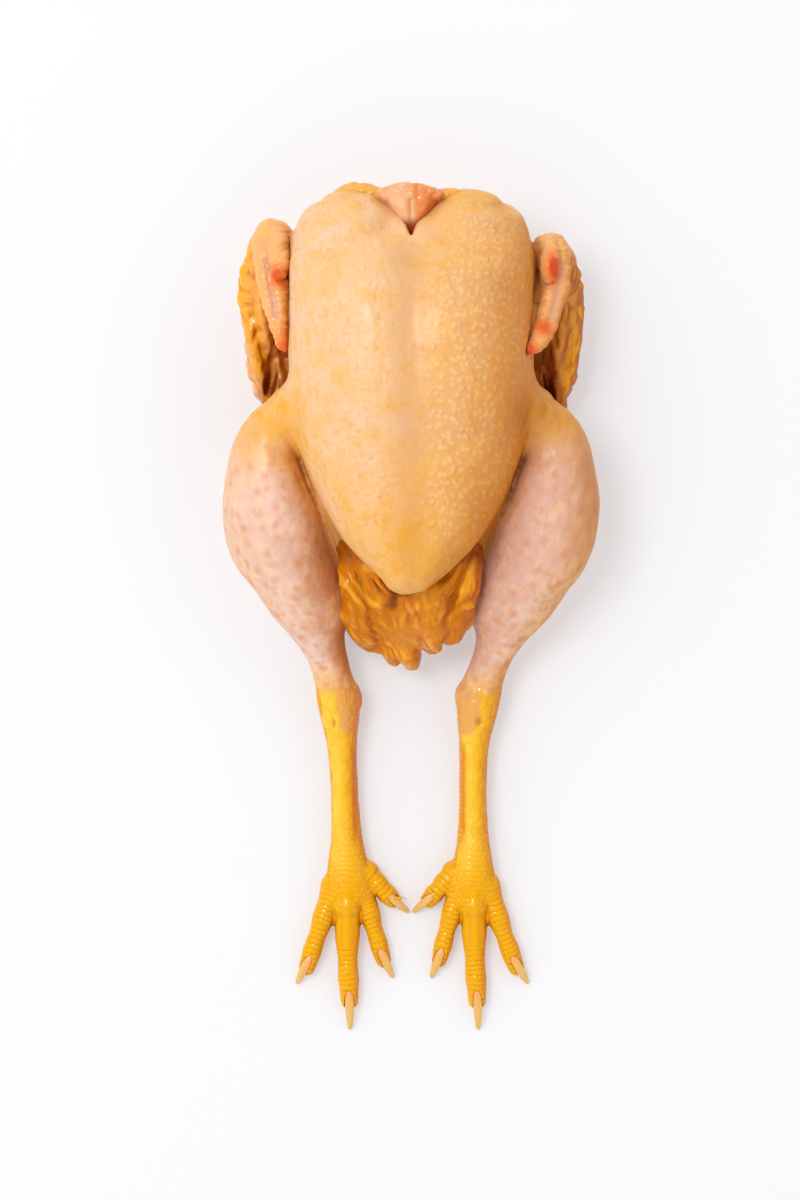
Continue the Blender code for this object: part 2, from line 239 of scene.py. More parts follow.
# The open vent.
VENT_BASE = [(0, 38, 46, 30, 26), (0, 20, 42, 29.5, 25), (-1, 4, 35, 28, 20), (-2, -7, 27, 21, 14)]
VENT_FOLDS = [
    [
        (-31, 34, 50, 5, 10), (-28.7, 21, 47, 6.4, 12), (-25.8, 8.6, 43, 8, 13), (-24, -3, 35, 9.4, 12),
        (-21.6, -9, 28, 8, 9),
    ],
    [(-29, 34, 62, 3.4, 6), (-22, 21, 60, 4, 7), (-16.4, 10, 54, 4.6, 7), (-12, 0.6, 46, 4.4, 7)],
    [
        (-24, 27, 67, 1.3, 1.6), (-17, 16.8, 67, 1.4, 1.6), (-11, 9.4, 65, 1.3, 1.5),
        (-8.6, 7.6, 63, 1, 1.2),
    ],
    [(-26, -11, 25, 4, 5), (-20.4, -14.4, 23, 5, 6), (-15, -15.4, 22, 4.6, 5.6)],
    [(-15, -2, 34, 4, 6), (-13, -9, 30, 4.6, 6.6), (-11, -17, 24, 4.8, 6), (-8.6, -22.6, 18, 3.6, 5)],
    [(-8, 2, 46, 2.4, 4), (-11, -6, 38, 2.6, 4), (-14, -12, 31, 2.4, 4)],
    [(-3.5, 3, 34, 6, 9), (-2.6, -8.4, 32, 7, 9), (-1.6, -18, 26, 6.8, 8), (0, -23.4, 19, 4.6, 6)],
    [(7, 12, 64, 11.4, 3.6), (8.2, 1, 58, 8.4, 4), (10.6, -9, 49, 5.8, 4), (12.8, -16.6, 37, 3, 3.4)],
    [(-3, 8.6, 65, 1.5, 1.8), (1.6, -1, 60, 1.8, 2.2), (6.4, -10, 50, 1.8, 2.2), (10.6, -17, 38, 1.6, 2)],
    [(26, 30, 61, 4, 7), (20.6, 19, 60, 4.4, 6), (17, 10, 58, 3.6, 5)],
    [(29.6, 30, 54, 5, 9), (26.4, 14, 50, 7, 12), (23, 1.6, 42, 8, 12), (20.2, -8, 32, 6.6, 9)],
    [(6, -13, 30, 4, 6), (10, -17, 25, 3.6, 5)],
    [(18, 11, 50, 4.4, 8), (17, 0, 45, 5, 8), (16, -9, 37, 4.4, 7)],
]
FLAP = 7  # which of the folds is the flap of skin
VENT_HOLLOW = [(-3.4, 10, 66, 3, 4), (-7.4, 8, 64, 2.6, 4), (-9.4, 3, 58, 2, 4)]

# The block of space for each piece, and the size of its smallest faces where no setting holds it.
BODY_BOX = (-98, -56, -4), (98, 212, 118)
WING_BOX, WING_GRAIN = ((36, 88, 0), (92, 200, 90)), 0.8
FOOT_BOX = (-2, -212, -4), (68, -22, 32)
NECK_BOX, NECK_GRAIN = ((-46, 170, 36), (46, 214, 98)), 0.62
VENT_BOX, VENT_GRAIN = ((-42, -38, -2), (42, 50, 84)), 0.75

# How light goes into each material and leaves it again, and how its wet coat shines.
LIGHT_SOCKETS = (
    "Subsurface Weight", "Subsurface Radius", "Subsurface Scale",
    "Specular IOR Level", "Coat IOR", "Coat Roughness",
)
SKIN_LIGHT = (0.16, (0.011, 0.0045, 0.0018), 0.2, 0.08, 1.5, 0.32)
WING_LIGHT = (0.25, (0.010, 0.0042, 0.0018), 0.3, 0.08, 1.3, 0.2)
SCALE_LIGHT = (0.12, (0.006, 0.003, 0.0006), 0.3, 0.05, 1.24, 0.14)
HORN_LIGHT = (0.3, (0.004, 0.002, 0.001), 0.5, 0.4, 1.5, 0.2)
FLESH_LIGHT = (0.45, (0.012, 0.005, 0.0015), 0.35, 0.05, 1.25, 0.16)

# The stage, in metres. The sky is dark straight overhead, from where it would glare on the wet skin.
FLOOR_REACH, FLOOR_GLOW = 6, 0.37
KEY_PLACE, KEY_SIZE = (-0.8, 0.45, 2.25), 0.9
GLINT_PLACE, GLINT_SIZE = (-0.5, 0.62, 1.7), 0.05
LAMPS_AIM = (0, 0.02, 0.04)
SKY_DARK_FROM, SKY_DARK_TO, SKY_DARKNESS = 0.75, 0.95, 0.85
CAMERA_PLACE, CAMERA_LENS, CAMERA_SENSOR = (-0.0053, 0.0071, 1.5), 90, 36


def tone(red, green, blue):
    """A colour as a screen shows it, 0 to 255, turned into the linear light that shaders use."""
    parts = [c / 255 for c in (red, green, blue)]
    return tuple(c / 12.92 if c <= 0.04045 else ((c + 0.055) / 1.055) ** 2.4 for c in parts)


def colour_setting(name, description, default):
    return bpy.props.FloatVectorProperty(
        name=name, description=description, default=default, subtype="COLOR", size=3, min=0, max=1
    )


def number_setting(name, description, default, **options):
    return bpy.props.FloatProperty(name=name, description=description, default=default, min=0, **options)


def length_setting(name, description, default):
    options = {"unit": "LENGTH", "subtype": "DISTANCE", "precision": 5}
    return number_setting(name, description, default, **options)


class ChickenSkin(bpy.types.PropertyGroup):
    grain: length_setting("Grain", "Size of the skin's smallest faces", 0.0013)
    bump_spacing: length_setting("Bump spacing", "Distance between the follicles of the skin", 0.0052)
    bump_height: length_setting("Bump height", "Height of the bumps round the follicles", 0.0007)
    cream: colour_setting("Cream", "Plain skin over pale meat", tone(230, 184, 122))
    blush: colour_setting("Blush", "Paler and pinker clouds in the plain skin", tone(236, 196, 168))
    fat: colour_setting("Fat", "Skin over yellow fat", tone(229, 166, 66))
    pink: colour_setting("Pink", "Thin skin over the meat of the legs", tone(231, 198, 187))
    spot: colour_setting("Spots", "Follicles on the legs", tone(214, 146, 100))
    # The crease colour is painted shade: it darkens the skin where shade falls in the creases.
    deep: colour_setting("Creases", "Skin deep in the creases", tone(150, 74, 8))


class ChickenFeet(bpy.types.PropertyGroup):
    grain: length_setting("Grain", "Size of the smallest faces of the feet", 0.00046)
    scale_height: length_setting("Scale height", "How far the scales stand out of their grooves", 0.0004)
    yellow: colour_setting("Yellow", "The scales", tone(233, 169, 0))
    # Pale is a painted highlight: it lightens the tops of the scales, most on the shank and where they face
    # the lamp at the left.
    pale: colour_setting("Pale", "The worn tops of the scales", tone(250, 208, 76))
    groove: colour_setting("Grooves", "Skin between the scales", tone(196, 102, 0))
    horn: colour_setting("Horn", "The claws", tone(226, 182, 96))


class ChickenStage(bpy.types.PropertyGroup):
    floor: colour_setting("Floor", "The pale floor", tone(188, 189, 192))
    key_power: number_setting("Key light", "Power of the large soft light", 24.5, unit="POWER")
    glint_power: number_setting("Glint light", "Power of the small light of the glints", 36.0, unit="POWER")
    sky_strength: number_setting("Sky", "Strength of the even light from all round", 1.11)


# Forms: limbs and balls are pressed together as distance fields and read out as one skin.


def smooth_sections(sections, spacing):
    """The sections of a limb, read every `spacing` millimetres along a smooth curve through them."""
    knots = np.array(sections, float)
    gaps = length(np.diff(knots[:, :3], axis=0))
    along = np.concatenate([[0], np.cumsum(gaps)])
    slopes = np.gradient(knots, along, axis=0)
    at = np.linspace(0, along[-1], max(3, round(along[-1] / spacing) + 1))
    i = np.clip(np.searchsorted(along, at, side="right") - 1, 0, len(gaps) - 1)
    gap = gaps[i][:, None]
    t = (at - along[i])[:, None] / gap
    start = (2 * t**3 - 3 * t**2 + 1) * knots[i] + (t**3 - 2 * t**2 + t) * gap * slopes[i]
    end = (3 * t**2 - 2 * t**3) * knots[i + 1] + (t**3 - t**2) * gap * slopes[i + 1]
    return start + end


def limb_frames(path):
    """Unit vectors ahead, across and up at each section of a path."""
    ahead = np.gradient(path[:, :3], axis=0)
    ahead /= length(ahead)[:, None]
    across = np.cross((0, 0, 1), ahead)
    across /= length(across)[:, None]
    return ahead, across, np.cross(ahead, across)


def limb(sections, sides=32, spacing=2.0, depth=1.0):
    """A closed shell lofted through the sections, with domed ends: its points and its faces of four."""
    path = smooth_sections(sections, spacing)
    ahead, across, up = limb_frames(path)
    turns = np.linspace(0, 2 * math.pi, sides, endpoint=False)
    rings = [(0, -angle) for angle in DOME[::-1]]
    rings += [(i, 0) for i in range(len(path))] + [(-1, angle) for angle in DOME]
    points = []
    for i, angle in rings:
        centre = path[i, :3] + ahead[i] * (min(path[i, 3:5]) * depth) * math.sin(angle)
        wide, high = path[i, 3:5] * math.cos(angle)
        ring = np.outer(np.cos(turns) * wide, across[i]) + np.outer(np.sin(turns) * high, up[i])
        points.append(centre + ring)
    i, j = np.meshgrid(np.arange(len(rings) - 1), np.arange(sides), indexing="ij")
    k = (j + 1) % sides
    quads = np.stack([i * sides + j, i * sides + k, (i + 1) * sides + k, (i + 1) * sides + j], axis=-1)
    first, last = np.arange(sides), (len(rings) - 1) * sides + np.arange(sides)
    caps = []
    for ring in (first[::-1], last):
        caps += [[ring[0], ring[n], ring[n + 1], ring[n + 1]] for n in range(1, sides - 1)]
    return np.concatenate(points), np.concatenate([quads.reshape(-1, 4), np.array(caps)])


def ball(centre, radii):
    """A closed ellipsoid as a shell."""
    x, y, z = centre
    reach = radii[1] * 0.02
    rows = [(x, y - reach, z, radii[0], radii[2]), (x, y + reach, z, radii[0], radii[2])]
    points, quads = limb(rows, sides=24, depth=1.0)
    squash = (radii[1] / min(radii[0], radii[2]) - 1) * (points[:, 1] - y)
    points[:, 1] += squash
    return points, quads


def mirrored(sections, side, shift=(0, 0, 0)):
    """The sections of a +X limb on the given side, moved by the shift."""
    dx, dy, dz = shift
    return [(SIDES[side] * (x + dx), y + dy, z + dz, *radii) for x, y, z, *radii in sections]


def side_box(box, side):
    """The two corners of a +X block of space, on the given side."""
    (x0, *low), (x1, *high) = box
    left, right = sorted((SIDES[side] * x0, SIDES[side] * x1))
    return (left, *low), (right, *high)


def drift(y):
    """How far a leg lies to the right at the height y."""
    return sum(shift * bell(y, centre, reach) for shift, centre, reach in LEG_DRIFT)


def leg_sections(sections, side):
    """The sections of a +X leg or toe on the given side, moved sideways as both legs lie."""
    return [(x + drift(y), y, *rest) for x, y, *rest in mirrored(sections, side)]


def leg_point(place, side):
    return leg_sections([place], side)[0]


def soft_min(a, b, blend):
    """The smaller of two distances, rounded over where they are nearly equal."""
    near = np.maximum(1 - np.abs(a - b) / np.maximum(blend, 1e-3), 0)
    return np.minimum(a, b) - near**3 * blend / 6


class Clay:
    """A block of space in which shells are joined and carved; the surface is where the distance is 0."""

    def __init__(self, low, high, grain, reach=8.0):
        self.grain, self.reach = grain, reach
        self.first = np.floor(np.array(low) / grain).astype(int)
        size = np.ceil(np.array(high) / grain).astype(int) - self.first + 1
        self.field = np.full(tuple(size), reach, np.float32)
        self.space = openvdb.createLinearTransform(voxelSize=grain)

    def distances(self, shell):
        points, quads = shell
        low = np.floor((points.min(0) - self.reach) / self.grain).astype(int) - self.first
        high = np.ceil((points.max(0) + self.reach) / self.grain).astype(int) - self.first + 1
        low, high = np.maximum(low, 0), np.minimum(high, self.field.shape)
        grid = openvdb.FloatGrid.createLevelSetFromPolygons(
            points.astype(np.float32),
            quads=quads.astype(np.uint32),
            transform=self.space,
            halfWidth=self.reach / self.grain,
        )
        values = np.empty(tuple(np.maximum(high - low, 1)), np.float32)
        grid.copyToArray(values, ijk=tuple(int(n) for n in self.first + low))
        return tuple(slice(a, b) for a, b in zip(low, high)), values

    def add(self, shell, blend=2.0):
        where, values = self.distances(shell)
        self.field[where] = soft_min(self.field[where], values, blend)

    def carve(self, shell, blend=1.0):
        where, values = self.distances(shell)
        self.field[where] = -soft_min(-self.field[where], values, blend)

    def axis(self, index):
        """Coordinates of the block's layers along one axis, shaped to combine with the field."""
        values = (np.arange(self.field.shape[index]) + self.first[index]) * self.grain
        shape = [1, 1, 1]
        shape[index] = -1
        return values.reshape(shape).astype(np.float32)

    def cut_below(self, height, blend=2.0):
        self.field = -soft_min(-self.field, self.axis(2) - height, blend)

    def read(self, points):
        """The distance at any points, from the layers round them."""
        at = points / self.grain - self.first
        low = np.clip(np.floor(at).astype(int), 0, np.array(self.field.shape) - 2)
        part = np.clip(at - low, 0, 1)
        total = np.zeros(len(points))
        for corner in itertools.product((0, 1), repeat=3):
            x, y, z = (low + corner).T
            total += np.prod(np.where(corner, part, 1 - part), axis=1) * self.field[x, y, z]
        return total

    def surface(self, passes=2):
        """The skin of the clay, evened out: its points, faces of four and normals."""
        band = 3 * self.grain
        grid = openvdb.FloatGrid(band)
        grid.copyFromArray(np.clip(self.field, -band, band), ijk=tuple(int(n) for n in self.first))
        grid.transform = self.space
        points, quads = grid.convertToQuads()
        points, quads = points.astype(float), quads.astype(int)
        for _ in range(passes):
            points = points + (neighbour_mean(points, quads) - points) * 0.5
        return points, quads, surface_normals(points, quads)

    def crowding(self, points, normals, *distances):
        """How much other flesh stands in front of each point: 0 in the open, 1 in a deep crease."""
        ahead = [1 - self.read(points + normals * distance) / distance for distance in distances]
        return np.clip(np.max(ahead, axis=0), 0, 1)


def length(vectors):
    return np.linalg.norm(vectors, axis=1)


def gathered(places, values, count):
    """The sum of the values that belong to each of `count` places."""
    return np.stack([np.bincount(places, column, count) for column in values.T], axis=1)


def neighbour_mean(points, quads):
    """The mean of the points that share an edge with each point."""
    ends = np.concatenate([quads[:, [k, (k + 1) % 4]] for k in range(4)])
    count = sum(np.bincount(ends[:, k], minlength=len(points)) for k in (0, 1))
    total = sum(gathered(ends[:, k], points[ends[:, 1 - k]], len(points)) for k in (0, 1))
    return total / np.maximum(count, 1)[:, None]


def surface_normals(points, quads):
    a, b, c, d = (points[quads[:, k]] for k in range(4))
    total = sum(gathered(quads[:, k], np.cross(c - a, d - b), len(points)) for k in range(4))
    return total / np.maximum(length(total), 1e-9)[:, None]


def folded(points, quads, normals, passes=2):
    """How sharply the surface folds inward at each point, from 0 to 1 along the bottom of a crease."""
    depth = np.sum((neighbour_mean(points, quads) - points) * normals, axis=1)
    size = np.sqrt(np.median(np.sum((points[quads[:, 0]] - points[quads[:, 1]]) ** 2, axis=1)))
    for _ in range(passes):
        depth = neighbour_mean(depth[:, None], quads)[:, 0]
    return step(0.03, 0.16, depth / size)


def swell(points, size, seed=0.0):
    """Smooth random swells about `size` millimetres across, from -1 to 1, at each point."""
    return np.array([noise.noise(p) for p in (points / np.array(size) + seed * 17.3).tolist()])


def billow(points, size, seed=0.0):
    """Round lumps and folds about `size` across: 1 on their tops, falling to 0 in sharp creases."""
    return np.minimum(np.abs(swell(points, size, seed)) * 2.6, 1)


def step(low, high, value):
    t = np.clip((value - low) / (high - low), 0, 1)
    return t * t * (3 - 2 * t)


def bell(value, centre, reach):
    """1 at the centre, and softly down to 0 about two reaches from it."""
    return np.exp(-(((value - centre) / reach) ** 2))


def nearest(points, path):
    """The index of the section of a path that is nearest to each point."""
    tree = kdtree.KDTree(len(path))
    for index, place in enumerate(path[:, :3].tolist()):
        tree.insert(place, index)
    tree.balance()
    return np.array([tree.find(p)[1] for p in points.tolist()])


def offsets(points, sections, spacing=1.0):
    """From the nearest place on a smooth path to each point."""
    path = smooth_sections(sections, spacing)
    return points - path[nearest(points, path), :3]


def cells(u, v, seed):
    """How far each place is from the border of its cell, in a lattice of uneven cells one unit wide."""
    jitter = np.random.default_rng(seed).uniform(-0.26, 0.26, (64, 64, 2))
    best, second = np.full(u.shape, 9.0), np.full(u.shape, 9.0)
    row = np.floor(v).astype(int)
    for j in (-1, 0, 1):
        line = row + j
        offset = 0.5 * (line % 2)
        column = np.floor(u - offset).astype(int)
        for i in (-1, 0, 1):
            shift = jitter[(column + i) % 64, line % 64]
            du = column + i + 0.5 + offset + shift[:, 0] - u
            dv = line + 0.5 + shift[:, 1] - v
            distance = np.hypot(du, dv)
            second = np.minimum(second, np.maximum(best, distance))
            best = np.minimum(best, distance)
    return second - best


def make_piece(name, points, quads, material, masks, nodes=("carcass",)):
    """A piece of the bird from its points in millimetres, on the frame in place of its solids."""
    normals = surface_normals(points, quads)
    # Painted shade: a mask that is 1 where the surface faces the right and the tail, away from the key lamp.
    masks = masks | {"lee": step(0.0, 1.05, normals[:, 0] - 0.2 * normals[:, 1])}
    mesh = bpy.data.meshes.new(name)
    mesh.from_pydata(((points - MIDDLE) * MM).tolist(), [], quads.tolist())
    mesh.validate()
    for mask, values in masks.items():
        kind, field = ("FLOAT", "value") if np.ndim(values) == 1 else ("FLOAT_VECTOR", "vector")
        layer = mesh.attributes.new(mask, kind, "POINT")
        layer.data.foreach_set(field, np.asarray(values, np.float32).ravel())
    mesh.shade_smooth()
    mesh.materials.append(material)
    piece = bpy.data.objects.new(name, mesh)
    bpy.context.scene.collection.objects.link(piece)
    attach(piece, "root")
    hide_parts(*nodes)
    return piece


# Finishes: shader maths written as expressions.


def arithmetic(operation, swapped=False):
    """What an arithmetic operator between a Wire and another value does."""
    return lambda wire, other: wire.maths(operation, *((other, wire) if swapped else (wire, other)))


class Wire:
    """A shader socket that takes part in arithmetic: each operator adds the Math node that it needs."""

    def __init__(self, finish, socket):
        self.finish, self.socket = finish, socket

    def maths(self, operation, *values):
        return self.finish.node("ShaderNodeMath", {"operation": operation}, dict(enumerate(values)))

    __add__ = __radd__ = arithmetic("ADD")
    __mul__ = __rmul__ = arithmetic("MULTIPLY")
    __sub__, __rsub__ = arithmetic("SUBTRACT"), arithmetic("SUBTRACT", swapped=True)
    __truediv__ = arithmetic("DIVIDE")

    def clamp(self, low=0.0, high=1.0):
        return self.maths("MINIMUM", self.maths("MAXIMUM", self, low), high)

    def rise(self, low, high):
        """0 below low, 1 above high, and a smooth rise between."""
        settings = {"interpolation_type": "SMOOTHSTEP"}
        values = {"Value": self, "From Min": low, "From Max": high}
        return self.finish.node("ShaderNodeMapRange", settings, values)


class Finish:
    """A material made of one Principled shader and the nodes that feed it, or the nodes of a sky."""

    def __init__(self, name, light=(), world=None, **constants):
        if world:
            self.tree = world.node_tree
            return
        self.material = bpy.data.materials.new(name)
        self.material.use_nodes = True
        self.tree = self.material.node_tree
        self.shader = self.tree.nodes["Principled BSDF"]
        for socket, value in (*zip(LIGHT_SOCKETS, light), *constants.items()):
            self.shader.inputs[socket.replace("_", " ")].default_value = value

    def node(self, kind, settings=None, values=None, output=0):
        made = self.tree.nodes.new(kind)
        for name, value in (settings or {}).items():
            setattr(made, name, value)
        for name, value in (values or {}).items():
            self.feed(made.inputs[name], value)
        return Wire(self, made.outputs[output])

    def feed(self, socket, value):
        if isinstance(value, Wire):
            self.tree.links.new(value.socket, socket)
        elif socket.type == "RGBA":
            socket.default_value = (*value[:3], 1)
        else:
            socket.default_value = value

    def drive(self, **sockets):
        for name, value in sockets.items():
            self.feed(self.shader.inputs[name.replace("_", " ")], value)

    def mask(self, name):
        return self.node("ShaderNodeAttribute", {"attribute_name": name}, output="Fac")

    def masks(self, names):
        return [self.mask(name) for name in names.split()]

    def place(self, stretch=(1, 1, 1)):
        """The point on the object in metres, squeezed by the stretch along each axis."""
        coordinates = self.node("ShaderNodeTexCoord", output="Object")
        return self.node("ShaderNodeMapping", None, {"Vector": coordinates, "Scale": stretch})

    def speckle(self, size, detail=2.0, stretch=(1, 1, 1), seed=0.0, rough=0.5, contrast=1.0):
        """Noise about `size` millimetres across, between 0 and 1."""
        settings = {"noise_dimensions": "4D"}
        values = {
            "Vector": self.place(stretch),
            "W": seed,
            "Scale": 1 / (size * MM),
            "Detail": detail,
            "Roughness": rough,
        }
        made = self.node("ShaderNodeTexNoise", settings, values, output="Fac")
        return made if contrast == 1.0 else ((made - 0.5) * contrast + 0.5).clamp()

    def dots(self, size, spread, seed=0.0):
        """Soft round dots about `size` apart on the skin's own grid, each `spread` of that in radius."""
        grid = self.node("ShaderNodeAttribute", {"attribute_name": "grid"}, output="Vector")
        drift = self.node("ShaderNodeTexNoise", None, {"Vector": grid, "Scale": 0.35 / size}, output="Color")
        reach = (0.9 * size,) * 3
        spot = self.node("ShaderNodeVectorMath", {"operation": "MULTIPLY_ADD"}, {0: drift, 1: reach, 2: grid})
        start = (seed * 31.7, seed * 11.3, 0)
        spot = self.node("ShaderNodeMapping", None, {"Vector": spot, "Location": start})
        values = {"Vector": spot, "Scale": 1 / size, "Randomness": 0.75}
        cell = self.node("ShaderNodeTexVoronoi", {"voronoi_dimensions": "2D"}, values, output="Distance")
        return 1 - (cell / spread).rise(0.0, 1.0)

    def mix(self, share, first, second, blend="MIX"):
        """Two colours mixed: a share of 1 or more gives the second, or their product with MULTIPLY."""
        settings = {"data_type": "RGBA", "blend_type": blend, "clamp_factor": True}
        return self.node("ShaderNodeMix", settings, {0: share, 6: first, 7: second}, output=2)

    def paint(self, colour, *layers):
        """A colour under layers of others, each given with its share."""
        for share, layer in layers:
            colour = self.mix(share, colour, layer)
        return colour

    def lee(self, colour):
        """Painted shade: warmer and deeper where the surface faces the tail and the right, away from the key
        lamp, and most at the right edge.
        """
        side = self.mask("lee")
        colour = self.mix(side, colour, (0.94, 0.82, 0.64), "MULTIPLY")
        return self.mix(side * side, colour, (0.82, 0.64, 0.36), "MULTIPLY")

    def bump(self, height, depth):
        """A normal from a height of 0 to 1 that stands for `depth` millimetres."""
        return self.node("ShaderNodeBump", None, {"Height": height, "Distance": depth * MM, "Strength": 1.0})


def skin_finish(settings):
    """Raw skin: cream over pale meat, yellow over fat, pink and spotted on the legs, with painted shade in
    the creases and hollows, painted light and shade by side on the legs, and painted shade where it faces
    away from the lamp.
    """
    skin = Finish("skin", SKIN_LIGHT)
    leg, fat, crease, goose, spots = skin.masks("leg fat crease goose spots")
    right, pink, low_leg, tan, pale = skin.masks("right pink low_leg tan pale")
    blotch = skin.speckle(24, 3, seed=1, contrast=1.8)
    cloud = skin.speckle(11, 4, seed=6, contrast=2.6)
    mottle = skin.speckle(4.5, 4, stretch=(1, 0.7, 1), seed=7, contrast=2.8)
    dash = skin.speckle(1.5, 2, stretch=(1, 0.22, 0.6), seed=2, contrast=1.6).rise(0.62, 0.86)
    fine = skin.speckle(1.5, 3, seed=3, contrast=1.8)
    spacing = settings.bump_spacing / MM
    bump = skin.dots(spacing, 0.4, 1) + skin.dots(spacing * 0.93, 0.4, 4)
    spot = skin.dots(8.5, 0.42, 2) * (skin.speckle(13, 2, seed=8, contrast=2.6) * 0.6 + 0.4)
    small = skin.dots(5.4, 0.5, 3) * skin.speckle(8, 2, seed=9, contrast=2.6)
    streaks = mottle.rise(0.45, 0.95) * 0.36 + dash * (1 - right * 0.6) * 0.32
    colour = skin.paint(
        settings.cream,
        (cloud * (1 - right * 0.4), settings.blush),
        (pale * (0.35 + cloud * 0.35), tone(220, 168, 126)),
        # The fat colour is yellow fat under the skin, and it is also painted shade in the hollows and on the
        # belly.
        (fat * (0.45 + blotch * 0.55) + (1 - leg) * streaks, settings.fat),
        (goose * right * (0.2 + cloud * 0.35) * (1 - bump), tone(214, 150, 106)),
        (goose * bump * (0.14 + right * 0.14), tone(248, 208, 140)),
        (goose * small * (0.42 - right * 0.3), tone(234, 172, 88)),
    )
    colour = skin.paint(
        skin.mix(pale, colour, (0.93, 0.89, 0.80), "MULTIPLY"),
        (pink * (1 - fat * 0.75), settings.pink),
        # Painted light and shade on the legs by side: the left leg is darker brown on its side towards the
        # right leg, the right leg is lighter on its outer side and darker on its inner side, and the spots
        # are stronger on the side of each leg that faces +X.
        (pink * right * tan * 0.5, tone(246, 216, 194)),
        (pink * right * (0.75 - tan), tone(207, 159, 138)),
        (pink * (tan * (1.3 - right * 1.3) + cloud * 0.3 - 0.12), tone(198, 138, 104)),
        (spots * mottle.rise(0.35, 0.9) * (0.2 + tan * 0.4), tone(214, 150, 104)),
        (spots * small * (low_leg * 0.55 + 0.1), tone(208, 142, 88)),
        (spots * spot * (0.35 + mottle * 0.6 + tan * 0.3), settings.spot),
        (spots * (1 - mottle).rise(0.55, 0.95) * 0.28, tone(250, 208, 140)),
        ((fine - 0.6) * 0.4, settings.spot),
        # Painted shade in the creases, the seam at the legs, the armpits, the right flank and the belly.
        (crease * 0.95, settings.deep),
    )
    grit = fine * 0.13 + skin.speckle(0.7, 2, seed=5) * 0.06
    height = bump * (goose * (0.45 + cloud * 0.55) + spots * 0.15) + grit + mottle * 0.3
    skin.drive(
        # The base colour, with painted shade on the side away from the lamp.
        Base_Color=skin.lee(colour),
        Roughness=0.42 + fine * 0.14,
        Coat_Weight=0.05 + blotch * 0.1,
        Normal=skin.bump(height, settings.bump_height / MM),
    )
    return skin.material


def foot_finish(settings):
    """Scales: glossy golden yellow, with a painted highlight on their tops, and orange in the grooves."""
    foot = Finish("scales", SCALE_LIGHT)
    groove, pale, crease, tan, red = foot.masks("groove pale crease tan red")
    blotch = foot.speckle(9, 3, seed=1, contrast=2.0)
    fine = foot.speckle(0.9, 2, seed=2)
    colour = foot.paint(
        settings.yellow,
        # Painted highlight on the tops of the scales.
        (pale * (0.35 + blotch * 0.65), settings.pale),
        (groove * (0.25 + groove * 0.65) * (1 - pale * 0.3), settings.groove),
        (tan * (0.65 + blotch * 0.35), tone(222, 158, 92)),
        (red * 0.6, tone(222, 118, 30)),
        # Painted shade in the creases and in the dimples at the hock.
        (crease.rise(0.2, 1.0) * 0.9, tone(186, 92, 4)),
    )
    foot.drive(
        # The base colour, with painted shade on the side away from the lamp.
        Base_Color=foot.lee(colour),
        Roughness=0.3 + fine * 0.12 + groove * 0.15,
        Coat_Weight=1 - groove * 0.8,
        Normal=foot.bump(fine, 0.05),
    )
    return foot.material


def horn_finish(settings):
    """Claw horn: translucent ivory with an orange root and fine lengthwise grain."""
    horn = Finish("horn", HORN_LIGHT)
    along = horn.mask("along")
    streak = horn.speckle(0.8, 3, stretch=(1, 0.25, 1), seed=1, contrast=1.6)
    colour = horn.paint(
        tone(238, 172, 92),
        (along.rise(0.0, 0.6), settings.horn),
        ((1 - streak) * 0.3, tone(214, 150, 92)),
    )
    normal = horn.bump(streak, 0.04)
    horn.drive(Base_Color=colour, Roughness=0.3 + streak * 0.15, Coat_Weight=0.2, Normal=normal)
    return horn.material


def flesh_finish(name, colours, gloss):
    """Wet cut flesh or fat, in four colours: light, middle, dark for the painted shade in the creases, and
    where it is fat, which on the vent also stands for a painted highlight along the tops of the folds.
    """
    flesh = Finish(name, FLESH_LIGHT)
    light, middle, dark, fatty = colours
    crease, blush, fat = flesh.masks("crease blush fat")
    streak = flesh.speckle(5, 4, seed=1, contrast=2.0)
    fine = flesh.speckle(1.4, 3, seed=2)
    colour = flesh.paint(
        light,
        (streak * 0.6 + 0.2, middle),
        (fat, fatty),
        (blush * (0.6 + streak * 0.5), tone(222, 128, 60)),
        # Painted shade in the creases.
        (crease.rise(0.2, 1.0) * 0.95, dark),
    )
    flesh.drive(
        # The base colour, with painted shade on the side away from the lamp.
        Base_Color=flesh.lee(colour),
        Roughness=0.26 + fine * 0.2,
        Coat_Weight=gloss,
        Normal=flesh.bump(fine * 0.5 + streak * 0.5, 0.3),
    )
    return flesh.material


# Pieces.


def body_clay(grain):
    """Torso and legs in one block of clay, and each of them alone."""
    torso, legs, whole = (Clay(*BODY_BOX, grain, 12.0) for _ in range(3))
    torso.add(limb(TRUNK, 48, depth=BLUNT))
    for side in SIDES:
        torso.add(limb(mirrored(BREAST, side), 48, depth=BLUNT), 5)
    torso.add(limb(KEEL, 40, depth=BLUNT), 9)
    torso.carve(limb(NECK_NOTCH, 32, depth=BLUNT), 3)
    for side in SIDES:
        torso.add(limb(mirrored(FLANK, side)), 12)
        torso.add(limb(mirrored(UPPER_ARM[:3], side, WING_SHIFT[side])), 14)
        legs.add(limb(leg_sections(LEG, side), 40))
        legs.add(limb(mirrored(THIGH, side), depth=0.6), 9)
        legs.add(ball(leg_point(HEEL, side), HEEL_RADII), 4)
    torso.carve(limb(HAND["right"][-3:], 24), 5)
    whole.field = soft_min(torso.field, legs.field, 3.0 + 9.0 * step(76, 98, whole.axis(1)))
    whole.cut_below(0.0)
    return torso, legs, whole


